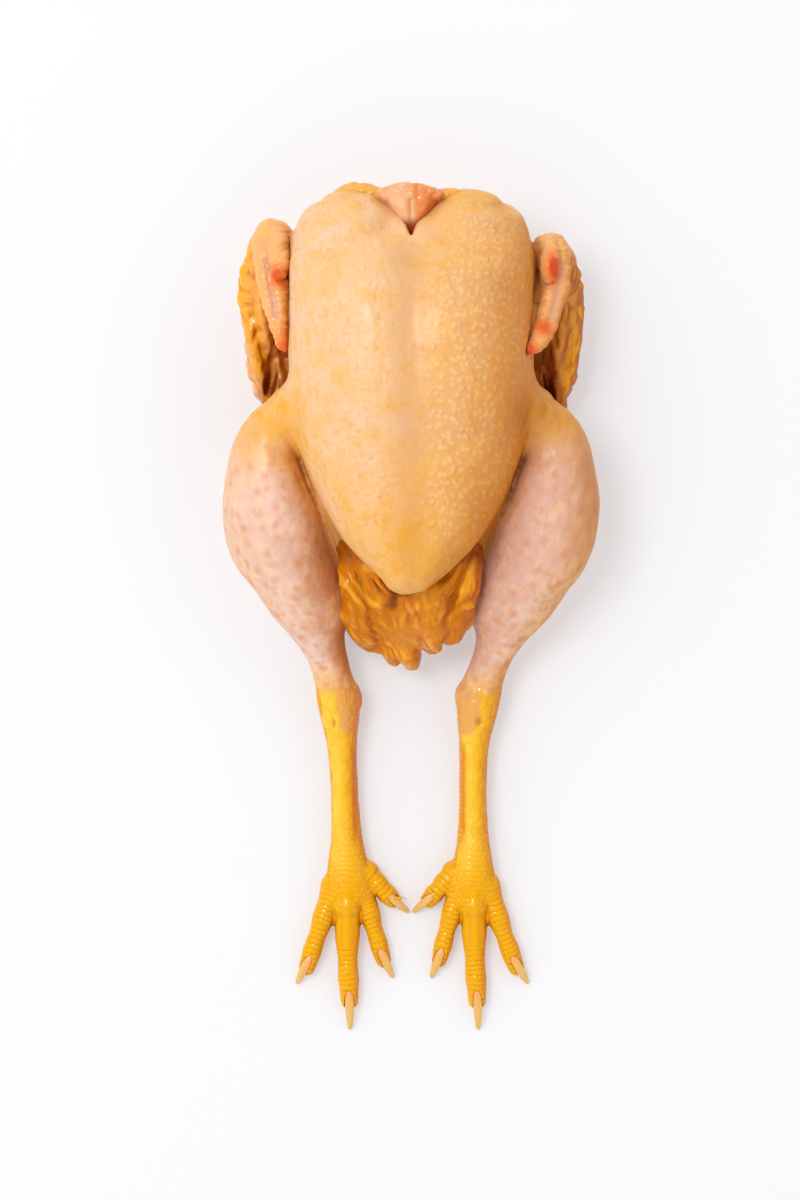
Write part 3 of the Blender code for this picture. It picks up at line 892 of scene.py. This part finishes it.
def build_skin(settings):
    """The skin over body and legs, and the masks that tell its finish what lies under it and where to paint
    light and shade.
    """
    torso, legs, whole = body_clay(settings.grain / MM)
    points, quads, normals = whole.surface(3)
    x, y, z = points.T
    from_torso, from_legs = torso.read(points), legs.read(points)
    margin = from_torso - from_legs
    leg = step(-4, 4, margin) * step(104, 84, y)
    other = np.maximum(from_torso, from_legs)  # how far the nearer of leg and torso is from the other
    # Painted shade: the seam between the legs and the torso and the pit beside each wing are darkened as
    # creases.
    seam = step(2.0, 0.4, other) * step(74, 50, y) * step(61, 55, np.abs(x))
    armpit = step(52, 57, np.abs(x)) * step(52, 42, z) * step(106, 112, y) * step(160, 148, y)
    crease = np.maximum(0.7 * step(0.4, 1.0, whole.crowding(points, normals, 1.2, 2.6)), seam + armpit)
    hollow = whole.crowding(points, normals, 5.0, 10.0)
    stretched = step(13, 2, other) * np.maximum(step(20, 60, y), 1 - leg) * step(112, 96, y)
    shin = leg * step(96, 70, y)
    right = step(-6, 18, x)
    flank = bell(np.abs(x), 58, 13) * bell(y, 94, 15)
    neck_end = bell(x, 0, 24) * step(174, 182, y)
    belly = (1 - leg) * step(76, 60, z) * step(56, 38, y)
    # Painted shade also on the right flank and on the belly beside the vent, with less of it near the cut
    # neck.
    crease = np.maximum(np.maximum(crease, 0.5 * flank * right) * (1 - 0.75 * neck_end), 0.5 * belly)
    outer = shin * step(54, 92, np.abs(x) + 0.25 * np.abs(y - 50) + 3 * swell(points, 12, 5))
    fat = 0.5 * right * step(40, 80, z) + 0.45 * step(110, 30, y) + 0.6 * step(30, 12, y) * (z > 40)
    fat = fat * (1 - leg) + 0.5 * bell(x, -1, 12) * step(90, 30, y) + 0.8 * flank + 0.55 * outer
    fat += 0.75 * step(-22, -40, y) + 0.3 * step(184, 200, y)
    # The hollows and the belly take the fat colour as painted shade; the stretched skin takes it as its own
    # colour.
    fat = np.clip(fat + 0.7 * hollow * (1 - 0.5 * shin) + stretched + belly, 0, 1)

    # a flat grid for the follicles, unrolled from the trunk, from its round neck end and from each leg; on
    # each leg also the side that faces +X, where the finish paints light and shade
    round_end = np.where(y > 150, 150 + np.hypot(y - 150, z - 60) * np.arctan2(y - 150, z - 60), y)
    grid = np.stack([np.hypot(x, z - 40) * np.arctan2(x, z - 40), round_end, 0 * x], axis=1)
    tan = np.zeros(len(points))
    for side in SIDES:
        own = (margin > 0) & (x * SIDES[side] > 0)
        along, turn, _, radius = limb_place(points[own], leg_sections(LEG, side))
        grid[own] = np.stack([300 + radius * turn, along, 0 * along], axis=1)
        tan[own] = step(-0.8, 1.6, turn) * (0.12 + 0.88 * step(58, 4, y[own]))
    border = step(0.4, 3.0, np.abs(margin)) * step(0.7, 0.3, crease)
    goose = (0.65 + 0.35 * right) * (1 - 0.7 * bell(x, -1, 10)) * (0.35 + 0.65 * step(0, 60, y))
    goose *= (1 - leg) * border * (1 - flank)
    goose *= step(0.85, 0.5, normals[:, 1]) * (1 - bell(x, 0, 20) * step(160, 176, y))
    relief = 0.6 * swell(points, 34, 1) + 0.35 * swell(points, 13, 2) + 0.2 * swell(points, (4, 6, 4), 3)
    relief += 0.35 * step(-14, -36, y) * (billow(points, (5, 12, 6), 4) - 0.5)
    lean = np.stack([x - 0.5 * np.sign(x) * y, 0.3 * y, z], axis=1)
    relief += 0.6 * np.clip(flank + stretched, 0, 1) * (1 - seam) * swell(lean, 5.0, 4)
    points = points + normals * (relief * step(3, 10, z))[:, None]
    masks = {"leg": shin, "fat": fat, "crease": crease, "goose": goose, "right": right, "grid": grid}
    # The side of each leg that faces +X, for painted light and shade.
    masks |= {"pink": shin * step(-38, -20, y), "spots": shin * border, "tan": tan * shin}
    masks |= {"low_leg": shin * step(45, -10, y)}
    masks |= {"pale": (1 - leg) * bell(x, -1, 9) * step(8, 30, y) * step(182, 165, y)}
    return make_piece("skin", points, quads, skin_finish(settings), masks)


def build_wing(side, material):
    """The folded wing: forearm with its rolls of fat, hand and thumb."""
    shift = WING_SHIFT[side]
    arm, hand, clay = (Clay(*side_box(WING_BOX, side), WING_GRAIN, 6.0) for _ in range(3))
    arm.add(limb(mirrored(UPPER_ARM, side, shift)), 1)
    arm.add(limb(mirrored(FOREARM, side, shift)), 3)
    for roll in WING_RIDGES[side]:
        arm.add(limb(roll, 20), 1.6)
    arm.carve(limb(ELBOW_PIT[side], 20), 1.2)
    hand.add(limb(HAND[side], 32))
    hand.add(limb(THUMB[side], 24), 1.0)
    clay.field = soft_min(arm.field, hand.field, 0.8 + 5.0 * step(168, 182, clay.axis(1) - shift[1]))
    points, quads, normals = clay.surface(1)
    x, y, z = points.T
    depth = clay.crowding(points, normals, 2.5, 6.0)
    crease = np.maximum(clay.crowding(points, normals, 1.2, 2.5), folded(points, quads, normals))
    on_hand = step(1.2, -0.4, hand.read(points) - 0.4 * step(4, 0, arm.read(points)))
    lumps = (1 - on_hand) * step(182, 172, y - shift[1]) * step(54, 66, np.abs(x)) * step(0.8, 0.3, depth)
    rolls = np.sqrt(swell(points, (5.5, 9, 6), 2) ** 2 + 0.01)
    relief = lumps * (3.0 * (rolls - 0.25) + 0.8 * swell(points, (3.4, 4.2, 4), 6))
    groove = bell(length(offsets(points, HAND_GROOVE[side], 0.5)), 0, 2.2) * step(56, 57, z)
    rings = 0.8 * on_hand * (billow(points, (11, 2.6, 11), 3) - 0.4)
    relief += 0.3 * swell(points, 7, 1) + rings - 1.3 * groove
    points = points + normals * relief[:, None]
    red, warm = np.zeros(len(points)), np.zeros(len(points))
    for cx, cy, cz, wide, long, strength in RED_SPOTS[side]:
        away = length((points - (cx, cy, cz)) / (wide, long, SPOT_DEPTH))
        red = np.maximum(red, strength * step(1.1, 0.5, away))
        warm = np.maximum(warm, step(2.1, 0.9, away))
    # Painted shade goes into the valleys between the lumps, the pit by the elbow and the deep creases, with
    # less of it near the red tips.
    valley = lumps * step(0.0, -0.8, relief)
    main_roll = WING_RIDGES[side][0]
    ridge = np.exp(-((length(offsets(points, main_roll)) / 5.4) ** 4))
    route = smooth_sections(main_roll, 1.0)[::-1]
    outer = step(1, 4, np.abs(x) - np.interp(y, route[:, 1], np.abs(route[:, 0]))) * step(150, 138, y)
    pit = PIT_SHADE[side] * step(9, 4, length(offsets(points, ELBOW_PIT[side]) * (1, 1, 0.4)))
    crease = np.maximum(crease, 0.9 * step(0.45, 0.95, depth)) * (1 - 0.7 * warm)
    masks = {"crease": crease, "red": red, "warm": warm, "yellow": lumps, "valley": valley}
    masks |= {"groove": groove, "ridge": ridge * (1 - on_hand) * (1 - outer)}
    masks |= {"outer": outer, "pit": pit * (1 - on_hand)}
    return make_piece(f"wing_{side}", points, quads, material, masks)


def wing_finish():
    """Wing skin: cream and pink on the hand, yellow on the rolls of fat, red at the tips, and painted shade
    in the creases, in the pit by the elbow and in the valleys between the rolls.
    """
    wing = Finish("wing_skin", WING_LIGHT)
    crease, red, warm, yellow, lee = wing.masks("crease red warm yellow lee")
    valley, groove, ridge, outer, pit = wing.masks("valley groove ridge outer pit")
    blotch = wing.speckle(6, 3, seed=1, contrast=2.0)
    fine = wing.speckle(1.3, 3, seed=2, contrast=1.6)
    rings = wing.speckle(3.0, 3, stretch=(0.35, 1, 0.35), seed=3, contrast=2.4)
    colour = wing.paint(
        tone(242, 186, 104),
        (blotch, tone(228, 166, 118)),
        (rings.rise(0.5, 1.0) * 0.6, tone(236, 160, 72)),
        (yellow * 0.9, tone(238, 166, 70)),
        (ridge * (0.85 + blotch * 0.3), tone(246, 174, 22)),
        (outer * yellow * 0.8, tone(236, 172, 112)),
        # Painted shade in the valleys between the rolls and in the pit by the elbow.
        (valley * 0.6, tone(196, 108, 30)),
        (pit * 0.9, tone(150, 72, 14)),
        (groove * 0.8, tone(218, 164, 138)),
        (warm * (0.8 + blotch * 0.2), tone(234, 126, 48)),
        (red * (0.75 + blotch * 0.4), tone(206, 64, 42)),
        # Painted shade on the rolls that face away from the lamp, and in the creases.
        (lee * yellow * 0.95, tone(178, 102, 12)),
        (crease.rise(0.3, 1.0) * 0.95, tone(130, 46, 8)),
    )
    wing.drive(
        # The base colour, with painted shade on the side away from the lamp.
        Base_Color=wing.lee(colour),
        Roughness=0.32 + fine * 0.16,
        Coat_Weight=0.25 + yellow * 0.35,
        Normal=wing.bump(fine * 0.5 + rings * 0.5, 0.6),
    )
    return wing.material


def toe_sections(base, end, thick, thin):
    """A toe from its base to the end of its flesh: it tapers, arches and swells at its pads."""
    rows = []
    for n in range(11):
        t = n / 10
        radius = thin + (thick - thin) * (1 - t) ** 2 + 0.35 * math.cos(2 * math.pi * 2.5 * t)
        x, y, z = (a + (b - a) * t for a, b in zip(base, end))
        rows.append((x, y, z + 0.8 * math.sin(math.pi * t), radius, radius))
    return rows


def limb_place(points, sections):
    """Where each point lies on a limb: how far along, the angle from its top, how far out, its radius."""
    path = smooth_sections(sections, 1.0)
    ahead, across, up = limb_frames(path)
    i = nearest(points, path)
    offset, radius = points - path[i, :3], path[i, 3]
    on, x, z = (np.sum(offset * way[i], axis=1) for way in (ahead, across, up))
    x, z = x / radius, z / path[i, 4]
    gaps = length(np.diff(path[:, :3], axis=0))
    along = np.concatenate([[0], np.cumsum(gaps)])[i] + on
    return along, np.arctan2(x, z), np.hypot(np.hypot(x, z), np.abs(on) / radius), radius


def pillows(u, v, seed, soft=0.5):
    """Scales: 1 on the rounded top of each, and 0 in the grooves between."""
    return step(-0.05, soft, cells(u, v, seed))


def bars(rows, soft):
    """Cross plates one unit long: 1 on each, and 0 in the grooves between."""
    part = rows - np.floor(rows)
    return 0.45 * step(-0.02, soft, np.minimum(part, 1 - part)) + 0.55 * np.sin(math.pi * part) ** 0.7


def shank_scales(along, turn, radius, wander):
    """Slanting plates in two columns down the shank, cross plates on the instep, small side scales."""
    marks = np.arange(0, 150.0)
    pitch = 6.4 - 3.9 * step(60, 88, marks)
    rows = np.interp(along, marks, np.cumsum(1 / pitch)) + wander * 0.6
    low = step(70, 86, along)
    columns = turn * radius / (5.8 - 2.6 * low) + 0.5 * wander
    front = pillows(columns, rows + 0.4 * np.abs(columns) * (1 - low), 5, 0.4 - 0.2 * low)
    front = 1 - (1 - front) * (0.38 + 0.4 * low)
    middle = step(84, 90, along) * step(0.44, 0.34, np.abs(turn + 0.3 * wander))
    front = front * (1 - middle) + (0.35 + 0.65 * bars(rows + 0.8 * wander, 0.12)) * middle
    sides = pillows(turn * radius / 2.0, along / 2.3, 6, 0.3)
    edge = 1.05 + wander
    on_front = step(edge + 0.05, edge - 0.05, np.abs(turn))
    return front * on_front + sides * (1 - on_front), on_front


def toe_scales(along, turn, radius, wander, smooth_until):
    """Cross plates on top of the toe, small scales at its sides, and a smooth start of the given length."""
    top = bars(along / 2.5 + 1.6 * wander, 0.09)
    bare = step(smooth_until + 2, smooth_until - 2, along)
    top = top * (1 - bare) + bare * (0.8 + 0.2 * np.cos(turn * 7 + wander * 6))
    sides = 0.5 + 0.5 * pillows(turn * radius / 1.5, along / 1.7, 7, 0.3)
    on_top = step(0.95, 0.8, np.abs(turn + wander * 0.4))
    return top * on_top + sides * (1 - on_top), on_top


def build_foot(side, material, settings):
    """A shank with its foot; each place has the scales of the limb that it is nearest to."""
    rows = {"shank": leg_sections(SHANK, side)}
    for toe, (base, end, _, thick, thin) in TOES.items():
        rows[toe] = leg_sections(toe_sections(base, end, thick, thin), side)
    clay = Clay(*side_box(FOOT_BOX, side), settings.grain / MM, 3.0)
    clay.add(limb(rows["shank"], 40))
    heel = leg_point(HEEL, side)
    clay.add(ball(heel, HEEL_RADII), 2.5)
    clay.add(limb(leg_sections(TENDON, side), 20), 1.4)
    clay.add(ball(leg_point(BALL_OF_FOOT, side), BALL_RADII), 3.0)
    for toe in TOES:
        clay.add(limb(rows[toe], 28), 1.8)
    clay.add(ball(leg_point(KNUCKLE, side), KNUCKLE_RADII), 0.8)
    for toe, (base, end, tip, _, _) in TOES.items():
        clay.carve(limb(leg_sections(claw_sections(base, end, tip, 0.15), side), 20), 0.5)
    clay.add(limb(WISPS[side], 10, 1.0), 0.6)
    clay.cut_below(0.0, 1.0)
    points, quads, normals = clay.surface(2)
    crease = clay.crowding(points, normals, 1.2, 2.6)

    best = np.full(len(points), 99.0)
    height, pale = np.zeros(len(points)), np.zeros(len(points))
    wander = 0.22 * swell(points, 7, 3)
    for name, sections in rows.items():
        along, turn, out, radius = limb_place(points, sections)
        if name == "shank":
            pattern, on_top = shank_scales(along, turn, radius, wander)
        else:
            smooth_until = SMOOTH_START if name == "middle" else 0
            pattern, on_top = toe_scales(along, turn, radius, wander, smooth_until)
        here = out < best
        best = np.where(here, out, best)
        height = np.where(here, pattern, height)
        pale = np.where(here, on_top * (0.9 if name == "shank" else 0.12), pale)
    # Painted highlight: the tops of the scales, mostly on the shank, and strongest where they face the lamp
    # at the left.
    pale = pale * (0.3 + 0.7 * step(0.5, -0.5, normals[:, 0])) * step(-142, -112, points[:, 1])
    x, y = points[:, 0], points[:, 1]
    bare = step(-44, -34, y + 12 * wander)
    around = np.hypot(x - heel[0] + SIDES[side] * 1.5, 0.55 * (y - heel[1] + 4)) + 8 * wander
    # The bare skin above the scales and round the heel is tan, its own colour.
    tan = np.maximum(bare, 0.9 * step(9, 6.5, around))
    wrinkles = billow(points, (3.4, 2.2, 3.0), 9)
    height = height * (1 - tan) + (0.5 + 0.5 * wrinkles) * tan
    size = settings.scale_height / MM * (1 + 0.8 * step(-70, -45, y))
    cx, cy, wide, long = DIMPLES[side]
    dimple = bell(x, cx, wide) * bell(y, cy, long) * step(8, 14, points[:, 2])
    relief = size * (height - 0.7) * (1 - 0.5 * bare) + 0.18 * swell(points, 5, 7) - 1.6 * dimple
    # The dimples at the hock also get painted shade.
    crease = np.maximum(crease, 0.7 * dimple)
    points = points + normals * relief[:, None]
    points[:, 2] = np.maximum(points[:, 2], 0.02)
    red = bell(x, drift(-90) + SIDES[side] * 27, 1.1) * step(-62, -70, y) * step(-118, -106, y)
    masks = {"groove": np.clip(1 - height, 0, 1), "pale": pale * (1 - red)}
    masks |= {"crease": crease, "tan": tan, "red": red}
    return make_piece(f"foot_{side}", points, quads, material, masks)


def claw_sections(base, end, tip, extra=0.0):
    """A claw from inside its cuff to its blunt point, curving down to the table."""
    reach = math.dist(base, end)
    start = np.array([b + (a - b) / reach * CLAW_ROOT for a, b in zip(base, end)]) + (0, 0, 2.6)
    rows = []
    for n, radius in enumerate(CLAW_RADII):
        t = n / (len(CLAW_RADII) - 1)
        x, y, z = start + (np.array(tip) - start) * (t, t, t**2.2)
        rows.append((x, y, z, radius + extra, radius + extra))
    return rows


def build_claws(settings):
    """The horn of all eight claws."""
    horn = horn_finish(settings)
    for side in SIDES:
        for toe, (base, end, tip, _, _) in TOES.items():
            rows = leg_sections(claw_sections(base, end, tip), side)
            points, quads = limb(rows, 28, 0.5)
            along, _, _, _ = limb_place(points, rows)
            points[:, 2] = np.maximum(points[:, 2], 0.05)
            masks = {"along": np.clip(along / along.max(), 0, 1)}
            make_piece(f"horn_{side}_{toe}", points, quads, horn, masks, [f"claw_{side}_{toe}"])


def build_neck():
    """The cut neck: two strips of flesh in the notch, shreds across their top, and fat beside them."""
    clay = Clay(*NECK_BOX, NECK_GRAIN, 5.0)
    clay.add(limb(NECK_ROOT, 32, depth=BLUNT))
    for side in SIDES:
        clay.add(limb(mirrored(NECK_STRIP, side), 28, depth=BLUNT), 1.6)
    for rows in NECK_FAT:
        clay.add(limb(rows, 24), 1.6)
    for rows in NECK_SHREDS:
        clay.add(limb(rows, 16, 1.0), 1.4)
    points, quads, normals = clay.surface(2)
    # Painted shade in the creases and along the sharp folds.
    crease = np.maximum(0.4 * clay.crowding(points, normals, 1.2, 2.4), 0.6 * folded(points, quads, normals))
    x, y, _ = points.T
    torn = step(195.5, 198, y)
    relief = 0.8 * torn * (billow(points, (4, 3, 4), 1) - 0.4) + 0.35 * swell(points, 6, 2)
    points = points + normals * relief[:, None]
    fat = step(13, 17, np.abs(x + 0.5))
    # Painted shade at the bottom of the notch; the seam between the two strips is kept free of it.
    shade = 0.95 * step(191, 182, y)
    seam = bell(x, -0.2, 0.9) * (1 - torn) * step(184, 188, y)
    crease = np.maximum(crease * (1 - seam), shade)
    blush = np.clip((1 - fat) * (0.05 + 0.95 * step(-1, 3, x) + 0.3 * torn) - seam, 0, 1)
    masks = {"crease": crease, "blush": blush, "fat": fat}
    colours = (tone(240, 202, 170), tone(230, 168, 112), tone(150, 62, 26), tone(230, 170, 84))
    material = flesh_finish("neck_flesh", colours, 0.5)
    return make_piece("neck", points, quads, material, masks)


def build_vent():
    """The open vent: fat lobes, flaps of belly skin and the tail, all in wet folds."""
    clay = Clay(*VENT_BOX, VENT_GRAIN, 6.0)
    clay.add(limb(VENT_BASE, 32, depth=0.6))
    for rows in VENT_FOLDS:
        clay.add(limb(rows, 28), 1.5)
    points, quads, normals = clay.surface(2)
    x, y, z = points.T
    sharp = folded(points, quads, normals, 3)
    # Painted shade where other flesh crowds in front, and along the sharp folds.
    crease = np.maximum(0.75 * clay.crowding(points, normals, 2.5, 4.5), 0.4 * sharp)
    lean = 0.6 * step(-2, -14, x) - 0.4 * step(2, 12, x)
    wander = np.stack([swell(points, 15, seed) for seed in (5, 6, 8)], axis=1)
    drape = (np.stack([x + lean * y, 0.36 * y, 0.6 * z], axis=1) + 4.5 * wander) / 5.6
    folds = 2.0 * np.sqrt(swell(drape, 1, 2) ** 2 + 0.04)
    ripples = np.sqrt(swell(drape * 2.6, 1, 9) ** 2 + 0.02)
    relief = (folds + 1.1 * ripples - 0.9) * step(1.0, 0.5, crease) * (0.4 + 0.6 * step(-24, -10, y))
    hollow = length(offsets(points, VENT_HOLLOW)[:, :2])
    relief += 0.6 * swell(points, 9, 3) - 2.4 * bell(hollow, 0, 3.6)
    points = points + normals * relief[:, None]
    tail = bell(x, -3, 8) * step(2, -12, y)
    edge = bell(x + 0.45 * (y + 1), 1.5, 3.2) * step(12, 6, y) * step(30, 40, z)
    # Painted shadow under the edge of the keel, and painted shade at the top where the vent meets the legs,
    # in the valleys of the folds and in the hollow.
    _, _, out, radius = limb_place(points, KEEL)
    keel_shadow = 0.55 * step(3.5, -0.5, (out - 1) * radius)
    shades = (0.8 * step(14, 30, y), 0.42 * step(0.85, 0.35, folds), 0.9 * step(6, 0, hollow))
    crease = np.max([0.85 * crease, keel_shadow, *shades], axis=0)
    flap = length(offsets(points, VENT_FOLDS[FLAP])[:, :2])
    flap = step(8, 5, flap) * step(30, 38, z)
    # The fat colour is partly a painted highlight along the tops of the folds and ripples, and partly the
    # paler fat of the tail and the flap.
    yellow = np.clip(0.6 * step(0.7, 1.3, folds) + 0.7 * ripples + 0.35 * tail + 0.3 * flap - 0.15, 0, 1)
    masks = {"crease": crease, "blush": np.clip(0.25 * tail + 0.5 * edge, 0, 1), "fat": yellow}
    colours = (tone(212, 130, 4), tone(190, 100, 0), tone(130, 50, 0), tone(238, 172, 40))
    material = flesh_finish("belly_fat", colours, 0.55)
    return make_piece("vent", points, quads, material, masks)


def build_stage(settings):
    """A faintly glowing floor, even light except from overhead, a soft light and a small one, a camera."""
    scene = bpy.context.scene
    scene.view_settings.view_transform = "Standard"
    floor_mesh = bpy.data.meshes.new("floor")
    corners = [(x * FLOOR_REACH, y * FLOOR_REACH, 0) for x, y in ((-1, -1), (1, -1), (1, 1), (-1, 1))]
    floor_mesh.from_pydata(corners, [], [(0, 1, 2, 3)])
    floor = bpy.data.objects.new("floor", floor_mesh)
    finish = Finish("floor", Roughness=0.9, Specular_IOR_Level=0.0, Emission_Strength=FLOOR_GLOW)
    finish.drive(Base_Color=settings.floor, Emission_Color=(1.0, 0.985, 1.0))
    floor_mesh.materials.append(finish.material)
    scene.collection.objects.link(floor)

    world = bpy.data.worlds.new("sky")
    scene.world = world
    world.use_nodes = True
    background = world.node_tree.nodes["Background"]
    background.inputs["Color"].default_value = (1, 1, 1, 1)
    sky = Finish("sky_maths", world=world)
    ahead = sky.node("ShaderNodeTexCoord", output="Generated")
    overhead = sky.node("ShaderNodeSeparateXYZ", None, {0: ahead}, "Z")
    dark = overhead.rise(SKY_DARK_FROM, SKY_DARK_TO) * SKY_DARKNESS
    sky.feed(background.inputs["Strength"], (1 - dark) * settings.sky_strength)

    add_lamp("key", KEY_SIZE, settings.key_power, KEY_PLACE)
    add_lamp("glint", GLINT_SIZE, settings.glint_power, GLINT_PLACE).visible_diffuse = False

    lens = bpy.data.cameras.new("camera")
    lens.lens, lens.sensor_width = CAMERA_LENS, CAMERA_SENSOR
    camera = bpy.data.objects.new("camera", lens)
    camera.location = CAMERA_PLACE
    scene.collection.objects.link(camera)
    scene.camera = camera


def add_lamp(name, size, power, place):
    """A square light aimed at the bird."""
    light = bpy.data.lights.new(name, "AREA")
    light.shape, light.size, light.energy = "SQUARE", size, power
    lamp = bpy.data.objects.new(name, light)
    lamp.location = place
    lamp.rotation_euler = (Vector(LAMPS_AIM) - lamp.location).to_track_quat("-Z", "Y").to_euler()
    bpy.context.scene.collection.objects.link(lamp)
    return lamp


class CHICKEN_OT_skin(bpy.types.Operator):
    """Model the skin of the body and the legs"""

    bl_idname = "chicken.skin"
    bl_label = "Body skin"

    def execute(self, context):
        build_skin(context.scene.chicken_skin)
        return {"FINISHED"}


class CHICKEN_OT_wings(bpy.types.Operator):
    """Model both folded wings"""

    bl_idname = "chicken.wings"
    bl_label = "Wings"

    def execute(self, context):
        material = wing_finish()
        for side in SIDES:
            build_wing(side, material)
        return {"FINISHED"}


class CHICKEN_OT_feet(bpy.types.Operator):
    """Model both scaly shanks and feet"""

    bl_idname = "chicken.feet"
    bl_label = "Shanks and feet"

    def execute(self, context):
        material = foot_finish(context.scene.chicken_feet)
        for side in SIDES:
            build_foot(side, material, context.scene.chicken_feet)
        return {"FINISHED"}


class CHICKEN_OT_claws(bpy.types.Operator):
    """Model the eight claws"""

    bl_idname = "chicken.claws"
    bl_label = "Claws"

    def execute(self, context):
        build_claws(context.scene.chicken_feet)
        return {"FINISHED"}


class CHICKEN_OT_neck(bpy.types.Operator):
    """Model the flesh and fat of the cut neck"""

    bl_idname = "chicken.neck"
    bl_label = "Cut neck"

    def execute(self, context):
        build_neck()
        return {"FINISHED"}


class CHICKEN_OT_vent(bpy.types.Operator):
    """Model the open vent and the tail"""

    bl_idname = "chicken.vent"
    bl_label = "Open vent"

    def execute(self, context):
        build_vent()
        return {"FINISHED"}


class CHICKEN_OT_stage(bpy.types.Operator):
    """Set up the floor, the lights and the camera"""

    bl_idname = "chicken.stage"
    bl_label = "Stage"

    def execute(self, context):
        build_stage(context.scene.chicken_stage)
        return {"FINISHED"}


OPERATORS = (
    CHICKEN_OT_skin,
    CHICKEN_OT_wings,
    CHICKEN_OT_feet,
    CHICKEN_OT_claws,
    CHICKEN_OT_neck,
    CHICKEN_OT_vent,
    CHICKEN_OT_stage,
)
GROUPS = {"chicken_skin": ChickenSkin, "chicken_feet": ChickenFeet, "chicken_stage": ChickenStage}


class CHICKEN_PT_panel(bpy.types.Panel):
    """Lists the pieces of the chicken and their settings"""

    bl_idname = "CHICKEN_PT_panel"
    bl_label = "Whole raw chicken"
    bl_space_type = "VIEW_3D"
    bl_region_type = "UI"
    bl_category = "Chicken"

    def draw(self, context):
        for name, group in GROUPS.items():
            box = self.layout.box()
            for setting in group.__annotations__:
                box.prop(getattr(context.scene, name), setting)
        for operator in OPERATORS:
            self.layout.operator(operator.bl_idname)


def register():
    for name, group in GROUPS.items():
        bpy.utils.register_class(group)
        setattr(bpy.types.Scene, name, bpy.props.PointerProperty(type=group))
    for made in (*OPERATORS, CHICKEN_PT_panel):
        bpy.utils.register_class(made)


def unregister():
    for made in (CHICKEN_PT_panel, *reversed(OPERATORS)):
        bpy.utils.unregister_class(made)
    for name, group in GROUPS.items():
        delattr(bpy.types.Scene, name)
        bpy.utils.unregister_class(group)


def main():
    register()
    bpy.ops.chicken.skin()
    bpy.ops.chicken.wings()
    bpy.ops.chicken.feet()
    bpy.ops.chicken.claws()
    bpy.ops.chicken.neck()
    bpy.ops.chicken.vent()
    bpy.ops.chicken.stage()


if __name__ == "__main__":
    main()
